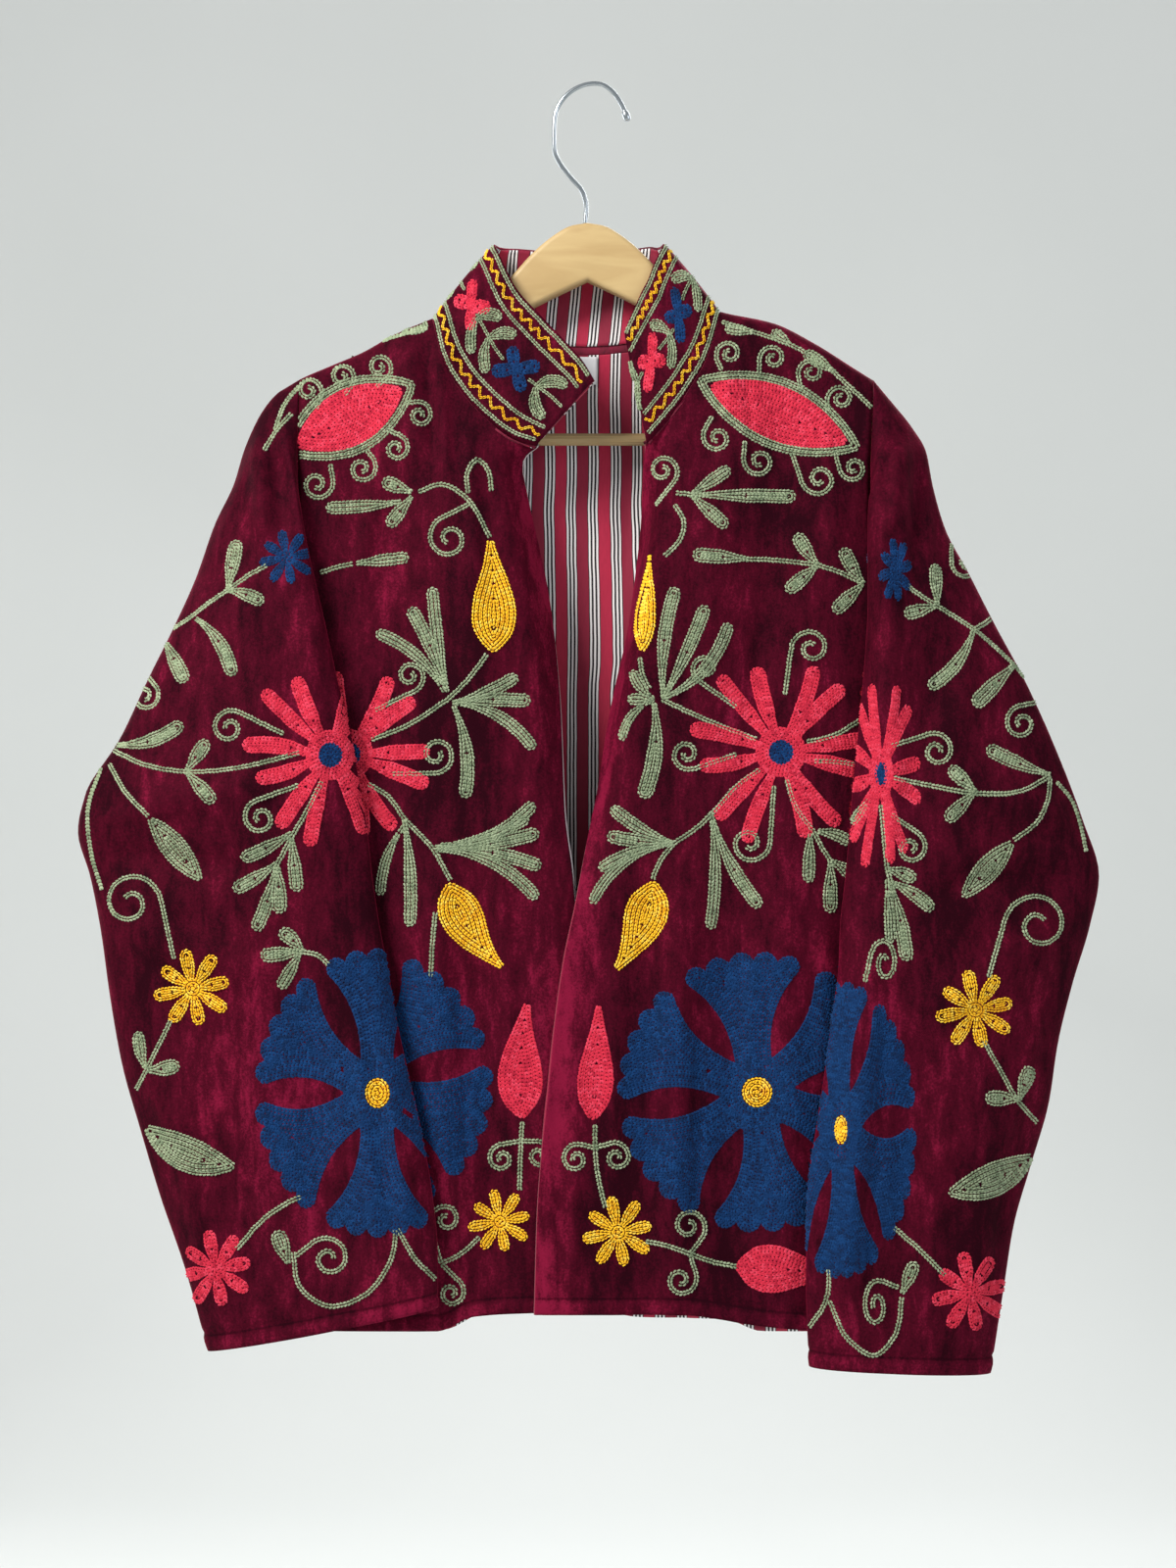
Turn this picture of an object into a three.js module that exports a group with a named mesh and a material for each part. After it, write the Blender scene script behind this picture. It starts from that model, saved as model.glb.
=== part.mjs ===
// Embroidered velvet jacket with a stand collar, hung open on a wooden hanger.
// Millimetres, +Z up, front towards -Y, origin at the inner top of the hanger's hook.
import * as THREE from 'three';

// Cloth
const VELVET = 1.4;
const COTTON = 1.0;
const WALL = 2.2;
const PLY_GAP = 0.3;
const FRONT_NECK_GAP = 1.2;
const SEAM = 0.35;
const SLEEVE_CLEARANCE = 3.5;

// Body
const CENTRE_X = -2;
const HALF_WIDTH = 244;
const UNDERARM_Z = -393;
const UNDERARM_T = 0.35;
const SHOULDER_ROUND = 10.5;
const FRONT_FILL = { depth: 17, length: 75, belly: 5 };
const BACK_FILL = { depth: 12, length: 90, belly: 3 };
const SIDE_POWER = 8;
const LABEL = { left: -10, right: 5, top: -175, bottom: -193, thick: 0.8, off: 0.6 };

// Hanger
const HANGER_X = -1.6;
const ARM_THICKNESS = 12;
const ARM_ROUND = 3.5;
const BAR_RADIUS = 4;
const BAR_Z = -231;
const BAR_HALF = 172;
const WIRE_RADIUS = 1.5;

const row = (names, rows) => rows.map((r) => Object.fromEntries(names.map((n, i) => [n, r[i]])));

// Shoulder line, with its run on across the neck
const SHOULDER = row(['x', 'z'], [
  [-230, -218], [-190, -192.4], [-168, -182.8], [-148.5, -174.5], [-129, -163.6], [-103, -152.1],
  [-60, -136], [0, -128], [50, -134], [85, -147.6], [120, -155.3], [146, -168.1], [171.5, -184.1],
  [184.3, -192.2], [230, -222],
]);

// Armhole seams, from the shoulder down to the underarm
const ARMHOLE_RIGHT = row(['x', 'z'], [
  [-188.2, -191.3], [-188.8, -215], [-188.8, -236], [-188.2, -268], [-192.6, -304], [-204, -342],
  [-223, -374], [-245.6, -393],
]);
const ARMHOLE_LEFT = row(['x', 'z'], [
  [184.3, -192.2], [182, -228], [181, -250], [180.5, -285], [184.3, -317], [195, -348],
  [217, -378], [241.6, -393],
]);

// Neck seams, from the neck point to the front edge or across the back
const NECK_RIGHT = row(['x', 'z'], [
  [-103, -152.1], [-101, -160], [-96, -180], [-83.5, -202.5], [-64.5, -222.8], [-50, -233.5], [-34.5, -238],
]);
const NECK_LEFT = row(['x', 'z'], [
  [85, -147.6], [80, -167.5], [74, -184], [67, -196.3], [59, -209], [50.3, -220.2], [36.4, -236],
]);
const NECK_BACK = row(['x', 'z'], [
  [-103, -152.1], [-93, -156], [-53, -168.4], [-2.6, -171.9], [44, -167.1], [77.4, -155], [85, -147.6],
]);

// Front edges: where the edge lies, where its turned strip begins and how far it is turned
const EDGE_RIGHT = row(['z', 'edge', 'ridge', 'turn'], [
  [-238, -34.5, -64.5, 12], [-247, -44.5, -65, 36], [-263, -41.7, -62, 50], [-302, -33, -57, 58],
  [-334, -26.5, -50, 58], [-375, -21.5, -43, 52], [-407, -19, -39, 45], [-475, -16.4, -38, 25],
  [-515, -11.4, -38, 14], [-560, -8.5, -39, 8], [-600, -7.6, -40, 0], [-708, -10.8, -42, 0], [-795, -14, -44, 0],
]);
const EDGE_LEFT = row(['z', 'edge', 'ridge', 'turn'], [
  [-236, 35.2, 61, 22], [-255, 34.6, 60, 50], [-286, 33.3, 56, 68], [-315, 30.2, 49, 76], [-340, 27, 43, 77],
  [-359, 23.9, 38, 76], [-395, 15.7, 31, 70], [-425, 10, 26, 62], [-455, 5.6, 22, 52], [-490, -1.5, 18, 36],
  [-515, -6, 16, 18], [-535, -9.5, 16, 5], [-568, -16.4, 16, 0], [-613, -22.7, 14, 0], [-651, -26.5, 11, 0],
  [-695, -31, 7, 0], [-727, -33.4, 5, 0], [-796, -35.3, 3, 0],
]);

// Hems
const HEM_RIGHT = row(['x', 'z'], [
  [-246, -806], [-190, -808], [-98.5, -807.5], [-74.5, -798], [-44, -796], [-14, -795],
]);
const HEM_LEFT = row(['x', 'z'], [
  [-35.3, -796], [3, -796], [62, -797], [84, -800], [100, -803], [138.5, -807], [188, -809], [242, -809],
]);
const HEM_BACK = row(['x', 'z'], [
  [-246, -812], [-150, -817], [-98, -817], [-70, -806], [-36, -805], [10, -806], [33, -809], [90, -810],
  [115, -818], [150, -818], [242, -814],
]);

// Collar: the way from the seam up to the top edge, by the fraction of each seam run
const COLLAR_RIGHT = row(['at', 'dx', 'dy', 'dz'], [
  [0, 39.6, 4, 48.8], [0.08, 41, 4, 50], [0.28, 44, 4, 53], [0.52, 44, 2, 57.6], [0.75, 39, 0, 60],
  [0.9, 37.6, -6, 53], [1, 36, -12, 39],
]);
const COLLAR_LEFT = row(['at', 'dx', 'dy', 'dz'], [
  [0, -36.4, 2, 43.3], [0.2, -38, 6, 50], [0.52, -32, 10, 62], [0.8, -22, 12, 70], [1, -14, 14, 72],
]);
const COLLAR_BACK = row(['at', 'dx', 'dy', 'dz'], [
  [0, 39.6, 4, 48.8], [0.06, 40, 6, 53.4], [0.28, 25.8, 8, 65], [0.52, 0, 9, 68.6], [0.75, -19.4, 8, 64.5],
  [0.94, -34.7, 5, 54], [1, -36.4, 2, 43.3],
]);

// Sleeves, a row per section: the outer fold, the inner fold over the front, the underarm seam,
// the depth of the outer fold and how far the two layers stand out
const SLEEVE_RIGHT = row(['ox', 'oz', 'ix', 'iz', 'ux', 'uz', 'oy', 'front', 'back'], [
  [-188.2, -191.3, -188.2, -268, -245.6, -393, 0, 0, 0],
  [-203, -200, -184.5, -286, -250, -397, 0, 14, 18],
  [-214, -213, -181, -304, -252, -401, 0, 16, 18],
  [-225, -237, -177, -322, -253, -406, -2, 18, 18],
  [-232, -261, -172, -343, -254, -412, -4, 20, 18],
  [-244, -287, -167, -365, -255, -419, -6, 21, 18],
  [-256, -322, -162, -388, -256, -428, -8, 22, 18],
  [-270, -354, -157, -408, -257, -438, -10, 22, 17],
  [-287, -389, -151, -434, -258, -450, -12, 23, 16],
  [-305, -427, -147, -460, -258, -465, -12, 23, 15],
  [-327, -462, -142, -490, -258, -484, -12, 24, 15],
  [-332, -487, -139, -518, -258, -508, -12, 24, 15],
  [-324, -516, -135, -545, -254, -532, -12, 24, 14],
  [-317, -551, -129, -576, -248, -565, -13, 23, 13],
  [-311, -593, -123, -610, -242, -601, -14, 22, 12],
  [-303, -637, -116, -641, -234, -640, -15, 22, 11],
  [-291, -679, -108, -675, -224, -677, -16, 21, 10],
  [-278, -722, -101, -713, -213, -717, -17, 20, 9],
  [-262, -768, -97, -754, -202, -762, -18, 19, 8],
  [-247, -822, -97, -790, -191, -810, -18, 18, 8],
]);
const SLEEVE_LEFT = row(['ox', 'oz', 'ix', 'iz', 'ux', 'uz', 'oy', 'front', 'back'], [
  [184.3, -192.2, 181, -255, 241.6, -393, 0, 0, 0],
  [198, -208, 179, -274, 246, -397, 0, 14, 18],
  [210, -223, 178, -292, 248, -401, 0, 16, 18],
  [219, -239, 178, -314, 249, -406, -2, 18, 18],
  [223, -261, 178, -340, 250, -412, -4, 20, 18],
  [231, -290, 176.5, -370, 251, -419, -6, 21, 18],
  [246, -319, 174, -400, 255, -428, -8, 22, 18],
  [263, -353, 171, -431, 256, -440, -10, 22, 17],
  [282, -389, 168, -459, 256, -455, -12, 23, 16],
  [301, -431, 166, -487, 257, -476, -12, 23, 15],
  [319, -478, 163, -519, 256, -500, -12, 24, 15],
  [330, -515, 160, -547, 257, -532, -12, 24, 15],
  [324, -548, 159, -572, 253, -559, -12, 24, 14],
  [313, -584, 155, -603, 246, -593, -13, 23, 13],
  [303, -624, 150, -638, 239, -630, -14, 22, 12],
  [297, -662, 145, -672, 232, -667, -15, 22, 11],
  [285, -703, 140, -704, 224, -704, -16, 21, 10],
  [274, -741, 138, -735, 216, -738, -17, 20, 9],
  [267, -784, 138, -779, 209, -782, -18, 19, 8],
  [259, -836, 140, -828, 204, -832, -18, 18, 8],
]);

// Soft folds: a ridge (+) or trough (-) from one point to another, its half width and its height
const FRONT_FOLDS = row(['x0', 'z0', 'x1', 'z1', 'width', 'height'], [
  [-120, -168, -112, -250, 10, 4.5],
  [-150, -200, -120, -360, 16, -3.2],
  [-90, -235, -70, -420, 15, 3.9],
  [-100, -500, -95, -780, 14, 5.9],
  [-70, -520, -62, -790, 12, -3.9],
  [-150, -480, -140, -780, 18, -3.9],
  [95, -165, 100, -260, 11, 3.9],
  [130, -200, 108, -400, 17, -3.2],
  [80, -260, 70, -440, 14, 3.9],
  [58, -520, 54, -790, 13, 5.9],
  [88, -500, 92, -790, 15, -3.9],
  [125, -470, 130, -790, 17, 4.5],
]);
const BACK_FOLDS = row(['x0', 'z0', 'x1', 'z1', 'width', 'height'], [
  [-120, -200, -100, -420, 18, 3.6],
  [-60, -230, -75, -600, 20, -3],
  [-10, -260, -20, -780, 22, 3.6],
  [60, -240, 50, -500, 18, -3],
  [110, -210, 120, -560, 20, 4.2],
  [-150, -450, -140, -800, 20, 3.6],
  [90, -560, 85, -800, 18, -3.6],
  [165, -430, 160, -790, 20, 3.6],
]);
const SLEEVE_FOLDS = row(['x0', 'z0', 'x1', 'z1', 'width', 'height'], [
  [-216, -228, -209, -300, 7, 6],
  [-203, -240, -190, -300, 7, -5.2],
  [-232, -330, -200, -420, 13, 4.5],
  [-300, -470, -200, -455, 12, 6],
  [-315, -500, -210, -510, 11, -6],
  [-300, -545, -205, -580, 13, 4.5],
  [-130, -560, -112, -760, 10, 5.2],
  [-270, -640, -235, -800, 14, 4.5],
  [-180, -600, -160, -800, 16, -4.5],
  [200, -236, 192, -300, 6, 6.8],
  [212, -248, 207, -310, 6, -5.2],
  [190, -310, 189, -420, 9, 5.2],
  [225, -360, 205, -470, 12, -4.5],
  [310, -480, 215, -450, 12, 6],
  [318, -520, 220, -520, 11, -6],
  [300, -560, 210, -600, 13, 5.2],
  [178, -560, 160, -800, 9, 6],
  [250, -620, 245, -810, 14, 4.5],
  [205, -620, 190, -820, 13, -4.5],
]);

// Small maths
const clamp = (v, a, b) => Math.min(b, Math.max(a, v));
const mix = (a, b, f) => a + (b - a) * f;
const smooth = (a, b, v) => {
  const f = clamp((v - a) / (b - a), 0, 1);
  return f * f * (3 - 2 * f);
};
const sub = (a, b) => [a[0] - b[0], a[1] - b[1], a[2] - b[2]];
const add = (a, b, k = 1) => [a[0] + b[0] * k, a[1] + b[1] * k, a[2] + b[2] * k];
const dot = (a, b) => a[0] * b[0] + a[1] * b[1] + a[2] * b[2];
const cross = (a, b) => [a[1] * b[2] - a[2] * b[1], a[2] * b[0] - a[0] * b[2], a[0] * b[1] - a[1] * b[0]];
const unit = (a) => {
  const l = Math.hypot(...a) || 1;
  return [a[0] / l, a[1] / l, a[2] / l];
};

// A table's column at a value of another column, in straight steps
function look(table, key, at, value) {
  const last = table.length - 1;
  const down = table[0][key] > table[last][key];
  let i = 0;
  while (i < last - 1 && (down ? at < table[i + 1][key] : at > table[i + 1][key])) i += 1;
  const f = clamp((at - table[i][key]) / (table[i + 1][key] - table[i][key]), 0, 1);
  return mix(table[i][value], table[i + 1][value], f);
}

// The point at a fraction of a seam's length
function along(table, f) {
  const run = [0];
  for (let i = 1; i < table.length; i += 1) {
    run.push(run[i - 1] + Math.hypot(table[i].x - table[i - 1].x, table[i].z - table[i - 1].z));
  }
  const at = clamp(f, 0, 1) * run[run.length - 1];
  let i = 0;
  while (i < run.length - 2 && at > run[i + 1]) i += 1;
  const g = (at - run[i]) / (run[i + 1] - run[i]);
  return [mix(table[i].x, table[i + 1].x, g), mix(table[i].z, table[i + 1].z, g)];
}

function foldHeight(folds, x, z) {
  let h = 0;
  for (const c of folds) {
    const dx = c.x1 - c.x0;
    const dz = c.z1 - c.z0;
    const long = Math.hypot(dx, dz);
    const f = ((x - c.x0) * dx + (z - c.z0) * dz) / (long * long);
    const off = ((x - c.x0) * dz - (z - c.z0) * dx) / long;
    const ends = smooth(-0.12, 0.22, f) * (1 - smooth(0.78, 1.12, f));
    h += c.height * ends * Math.exp(-((off / c.width) ** 2));
  }
  return h;
}

// Depths of the body's front and back over the hanging outline
const shoulderZ = (x) => look(SHOULDER, 'x', x, 'z');
const drop = (x, z) => Math.max(0, shoulderZ(x) - z);
const roundTop = (q) => SHOULDER_ROUND * Math.sqrt(1 - (1 - Math.min(q / 10, 1)) ** 2);
function sideFade(x, z) {
  const half = HALF_WIDTH + 0.35 * Math.max(0, z - UNDERARM_Z);
  return 1 - clamp(Math.abs(x - CENTRE_X) / half, 0, 1) ** SIDE_POWER;
}
function frontY(x, z) {
  const q = drop(x, z);
  const belly = FRONT_FILL.belly * Math.exp(-(((x - CENTRE_X) / 120) ** 2)) * (1 - Math.exp(-q / 120));
  const full = roundTop(q) + FRONT_FILL.depth * (1 - Math.exp(-q / FRONT_FILL.length)) + belly;
  return -(full + foldHeight(FRONT_FOLDS, x, z)) * sideFade(x, z);
}
function backY(x, z) {
  const q = drop(x, z);
  const belly = BACK_FILL.belly * Math.exp(-(((x - CENTRE_X) / 120) ** 2)) * (1 - Math.exp(-q / 120));
  const full = roundTop(q) + BACK_FILL.depth * (1 - Math.exp(-q / BACK_FILL.length)) + belly;
  return (full + foldHeight(BACK_FOLDS, x, z)) * sideFade(x, z);
}

// The side edge of the body: armhole, then side seam
function sideEdge(armhole, hemPoint, t) {
  if (t <= UNDERARM_T) return along(armhole, t / UNDERARM_T);
  const top = along(armhole, 1);
  const f = (t - UNDERARM_T) / (1 - UNDERARM_T);
  return [mix(top[0], hemPoint[0], f), mix(top[1], hemPoint[1], f)];
}
function sideX(x, z) {
  const armhole = x < CENTRE_X ? ARMHOLE_RIGHT : ARMHOLE_LEFT;
  if (z < UNDERARM_Z) return armhole[armhole.length - 1].x;
  return look(armhole, 'z', z, 'x');
}

// Outline points of a panel between four edges
function coons(top, hem, first, last, s, t) {
  const a = top(0);
  const b = top(1);
  const c = hem(0);
  const d = hem(1);
  const p = top(s);
  const q = hem(s);
  const l = first(t);
  const r = last(t);
  return [0, 1].map((i) => (1 - t) * p[i] + t * q[i] + (1 - s) * l[i] + s * r[i]
    - (1 - s) * (1 - t) * a[i] - s * (1 - t) * b[i] - (1 - s) * t * c[i] - s * t * d[i]);
}

// One front: u from the side (0) to the ridge (1) and across the turned strip to the edge (2)
function makeFront(side) {
  const armhole = side < 0 ? ARMHOLE_RIGHT : ARMHOLE_LEFT;
  const neck = side < 0 ? NECK_RIGHT : NECK_LEFT;
  const edge = side < 0 ? EDGE_RIGHT : EDGE_LEFT;
  const hemTable = side < 0 ? HEM_RIGHT : HEM_LEFT;
  const neckAtRidge = side < 0 ? 0.74 : 0.62;
  const shoulderShare = side < 0 ? 0.45 : 0.5;
  const hemEnd = side < 0 ? -246 : 242;
  const a = along(armhole, 0);
  const n = along(neck, 0);
  const topAt = (s) => {
    if (s <= shoulderShare) {
      const x = mix(a[0], n[0], s / shoulderShare);
      return [x, shoulderZ(x)];
    }
    return along(neck, neckAtRidge * (s - shoulderShare) / (1 - shoulderShare));
  };
  const ridgeTop = along(neck, neckAtRidge);
  const edgeTop = along(neck, 1);
  const hemZ = (x) => look(hemTable, 'x', x, 'z');
  const ridgeX = (z) => look(edge, 'z', z, 'ridge');
  const last = edge[edge.length - 1];
  const ridgeHem = [last.ridge, hemZ(last.ridge)];
  const ridgeAt = (t) => {
    const z = mix(ridgeTop[1], ridgeHem[1], t);
    return [mix(ridgeTop[0], ridgeX(z), smooth(0, 0.03, t)), z];
  };
  const hemAt = (s) => {
    const x = mix(hemEnd, ridgeHem[0], s);
    return [x, hemZ(x)];
  };
  const lift = (x, z) => {
    const low = smooth(-470, -520, z);
    if (side < 0) return 1.5 * low * smooth(-75, -40, x);
    return -3.2 * low * smooth(42, 12, x);
  };
  const flat = (s, t) => {
    const [x, z] = coons(topAt, hemAt, (v) => sideEdge(armhole, [hemEnd, hemZ(hemEnd)], v), ridgeAt, s, t);
    return [x, frontY(x, z) + lift(x, z), z];
  };
  const strip = (s, t) => {
    const r = ridgeAt(t);
    const zTop = mix(ridgeTop[1], edgeTop[1], s);
    const zHem = mix(ridgeHem[1], hemZ(last.edge), s);
    const z = t < 0.0001 ? zTop : mix(zTop, zHem, t);
    const turn = THREE.MathUtils.degToRad(look(edge, 'z', z, 'turn')) + 0.0001;
    const xe = mix(edgeTop[0], look(edge, 'z', z, 'edge'), smooth(0, 0.012, t));
    const bend = (g) => {
      const h = Math.min(g, 0.5);
      const ramp = turn * h / 0.5;
      const cosRun = 0.5 * Math.sin(ramp) / turn + Math.max(0, g - 0.5) * Math.cos(turn);
      const sinRun = 0.5 * (1 - Math.cos(ramp)) / turn + Math.max(0, g - 0.5) * Math.sin(turn);
      return [cosRun, sinRun];
    };
    const [whole] = bend(1);
    const [cx, cy] = bend(s);
    const reach = Math.abs(xe - r[0]) / whole;
    let x = mix(r[0], xe, cx / whole);
    let zz = z;
    if (t < 0.02) {
      const q = along(neck, mix(neckAtRidge, 1, s));
      x = mix(q[0], x, t / 0.02);
      zz = mix(q[1], z, t / 0.02);
    }
    const y0 = frontY(r[0], z) + lift(mix(r[0], xe, s), zz);
    return [x, mix(y0, frontY(x, zz) + lift(x, zz), smooth(0.6, 0, look(edge, 'z', z, 'turn') / 20)) + reach * cy, zz];
  };
  return { armhole, neck, neckAtRidge, shoulderShare, at: (u, t) => (u <= 1 ? flat(u, t) : strip(u - 1, t)) };
}

// The back: u across from the viewer's left (0) to the right (1)
function makeBack() {
  const shares = [0.3, 0.7];
  const aL = along(ARMHOLE_RIGHT, 0);
  const aR = along(ARMHOLE_LEFT, 0);
  const nL = along(NECK_BACK, 0);
  const nR = along(NECK_BACK, 1);
  const topAt = (s) => {
    if (s < shares[0]) {
      const x = mix(aL[0], nL[0], s / shares[0]);
      return [x, shoulderZ(x)];
    }
    if (s > shares[1]) {
      const x = mix(nR[0], aR[0], (s - shares[1]) / (1 - shares[1]));
      return [x, shoulderZ(x)];
    }
    return along(NECK_BACK, (s - shares[0]) / (shares[1] - shares[0]));
  };
  const hemZ = (x) => look(HEM_BACK, 'x', x, 'z');
  const hemAt = (s) => {
    const x = mix(-246, 242, s);
    return [x, hemZ(x)];
  };
  const left = (t) => sideEdge(ARMHOLE_RIGHT, [-246, hemZ(-246)], t);
  const right = (t) => sideEdge(ARMHOLE_LEFT, [242, hemZ(242)], t);
  const at = (s, t) => {
    const [x, z] = coons(topAt, hemAt, left, right, s, t);
    return [x, backY(x, z), z];
  };
  return { shares, at };
}

// Inward normals of a grid of points
function normals(grid, sign, ring) {
  const rows = grid.length;
  const cols = grid[0].length;
  return grid.map((line, i) => line.map((_, j) => {
    const before = ring ? line[(j + cols - 1) % cols] : line[Math.max(0, j - 1)];
    const after = ring ? line[(j + 1) % cols] : line[Math.min(cols - 1, j + 1)];
    const du = sub(after, before);
    const dv = sub(grid[Math.min(rows - 1, i + 1)][j], grid[Math.max(0, i - 1)][j]);
    const n = unit(cross(du, dv));
    return [n[0] * sign, n[1] * sign, n[2] * sign];
  }));
}
const clearOf = (n, way, sense) => {
  const c = dot(n, way) * sense;
  return c > 0 ? unit(add(n, way, -c * sense)) : n;
};
const moved = (grid, norm, d) => grid.map((line, i) => line.map((p, j) => add(p, norm[i][j], d)));

// A closed wall between an outer and an inner grid
function wall(outer, inner, ring) {
  const rows = outer.length;
  const cols = outer[0].length;
  const points = [...outer.flat(), ...inner.flat()];
  const faces = [];
  const o = (i, j) => i * cols + (j % cols);
  const n = (i, j) => rows * cols + i * cols + (j % cols);
  const quad = (a, b, c, d) => faces.push([a, b, c], [a, c, d]);
  const span = ring ? cols : cols - 1;
  for (let i = 0; i < rows - 1; i += 1) {
    for (let j = 0; j < span; j += 1) {
      quad(o(i, j), o(i, j + 1), o(i + 1, j + 1), o(i + 1, j));
      quad(n(i, j), n(i + 1, j), n(i + 1, j + 1), n(i, j + 1));
    }
  }
  for (let j = 0; j < span; j += 1) {
    quad(o(0, j), n(0, j), n(0, j + 1), o(0, j + 1));
    quad(o(rows - 1, j), o(rows - 1, j + 1), n(rows - 1, j + 1), n(rows - 1, j));
  }
  if (!ring) {
    for (let i = 0; i < rows - 1; i += 1) {
      quad(o(i, 0), o(i + 1, 0), n(i + 1, 0), n(i, 0));
      quad(o(i, cols - 1), n(i, cols - 1), n(i + 1, cols - 1), o(i + 1, cols - 1));
    }
  }
  return solid(points, faces);
}
function solid(points, faces) {
  let volume = 0;
  for (const [a, b, c] of faces) volume += dot(points[a], cross(points[b], points[c])) / 6;
  const geometry = new THREE.BufferGeometry();
  geometry.setAttribute('position', new THREE.Float32BufferAttribute(points.flat(), 3));
  geometry.setIndex(faces.flatMap(([a, b, c]) => (volume > 0 ? [a, b, c] : [a, c, b])));
  return geometry;
}

const group = new THREE.Group();
function put(name, geometry, color, roughness = 0.9, metalness = 0) {
  const mesh = new THREE.Mesh(geometry, new THREE.MeshStandardMaterial({ color, roughness, metalness }));
  mesh.name = name;
  group.add(mesh);
  return mesh;
}
const MAROON = 0x5a1028;
const CRIMSON = 0xa01c3c;
const WOOD = 0xc3a573;

// Where the grids take their points
const ARM_FRONT = [0, 0.006, 0.022, 0.055, 0.11, 0.17, 0.225, 0.28, 0.315, 1 / 3];
const ARM_HIDDEN = [0.38, 0.5, 0.66, 0.83, 1];
const ARM_BACK = [0, 0.006, 0.022, 0.055, 0.13, 0.26, 0.43, 0.62, 0.82, 1];
const BELOW = [0.08, 0.17, 0.27, 0.37, 0.47, 0.57, 0.67, 0.77, 0.89, 1];
const rowsFor = (arm) => [...arm.map((f) => f * UNDERARM_T), ...BELOW.map((f) => mix(UNDERARM_T, 1, f))];
const steps = (n, a = 0, b = 1) => Array.from({ length: n + 1 }, (_, i) => mix(a, b, i / n));

const armWay = (armhole, f) => {
  const p = along(armhole, f - 0.02);
  const q = along(armhole, f + 0.02);
  const side = armhole[0].x < 0 ? -1 : 1;
  const t = unit([q[0] - p[0], 0, q[1] - p[1]]);
  return side < 0 ? [t[2], 0, -t[0]] : [-t[2], 0, t[0]];
};

const NECK_AT = [0, 0.09, 0.34, 0.65, 1];
const BACK_NECK_AT = [0, 0.055, 0.17, 0.33, 0.5, 0.67, 0.83, 0.945, 1];
const STRIP_STEPS = 4;
const SHOULDER_STEPS = 4;

function collarWays(table, fractions) {
  return fractions.map((f) => ['dx', 'dy', 'dz'].map((key) => look(table, 'at', f, key)));
}

// Fronts
const necks = {};
for (const side of [-1, 1]) {
  const front = makeFront(side);
  const us = [...steps(SHOULDER_STEPS, 0, front.shoulderShare),
    ...NECK_AT.slice(1).map((f) => mix(front.shoulderShare, 1, f)), ...steps(STRIP_STEPS, 1, 2).slice(1)];
  const ts = rowsFor([...ARM_FRONT, ...ARM_HIDDEN]);
  const outer = ts.map((t) => us.map((u) => front.at(u, t)));
  const neckU = us.slice(SHOULDER_STEPS);
  const fractions = neckU.map((u) => (u <= 1
    ? front.neckAtRidge * (u - front.shoulderShare) / (1 - front.shoulderShare)
    : mix(front.neckAtRidge, 1, u - 1)));
  const ways = collarWays(side < 0 ? COLLAR_RIGHT : COLLAR_LEFT, fractions);
  const norm = normals(outer, -side, false);
  for (let i = 0; i < ts.length; i += 1) {
    if (ts[i] <= UNDERARM_T + 0.001) {
      norm[i][0] = clearOf(norm[i][0], armWay(front.armhole, ts[i] / UNDERARM_T), 1);
    }
  }
  neckU.forEach((_, j) => {
    for (const i of [0, 1]) {
      norm[i][SHOULDER_STEPS + j] = clearOf(norm[i][SHOULDER_STEPS + j], unit(ways[j]), 1);
    }
  });
  for (let j = 0; j <= SHOULDER_STEPS; j += 1) norm[0][j] = unit([0, 0, -1]);
  const inner = moved(outer, norm, WALL);
  const seam = (g) => g.forEach((line, i) => line.forEach((p) => {
    const nearSide = ts[i] > UNDERARM_T * 0.9 && Math.abs(p[0] - CENTRE_X) > HALF_WIDTH - 30;
    const nearTop = i < 2 && Math.abs(p[0]) > 80;
    if (nearSide || nearTop) p[1] = Math.min(p[1], -SEAM / 2);
  }));
  necks[side] = { base: outer[0].slice(SHOULDER_STEPS).map((p) => [...p]), ways };
  seam(outer);
  seam(inner);
  put(side < 0 ? 'front_right' : 'front_left', wall(outer, inner, false), MAROON);
}

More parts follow.
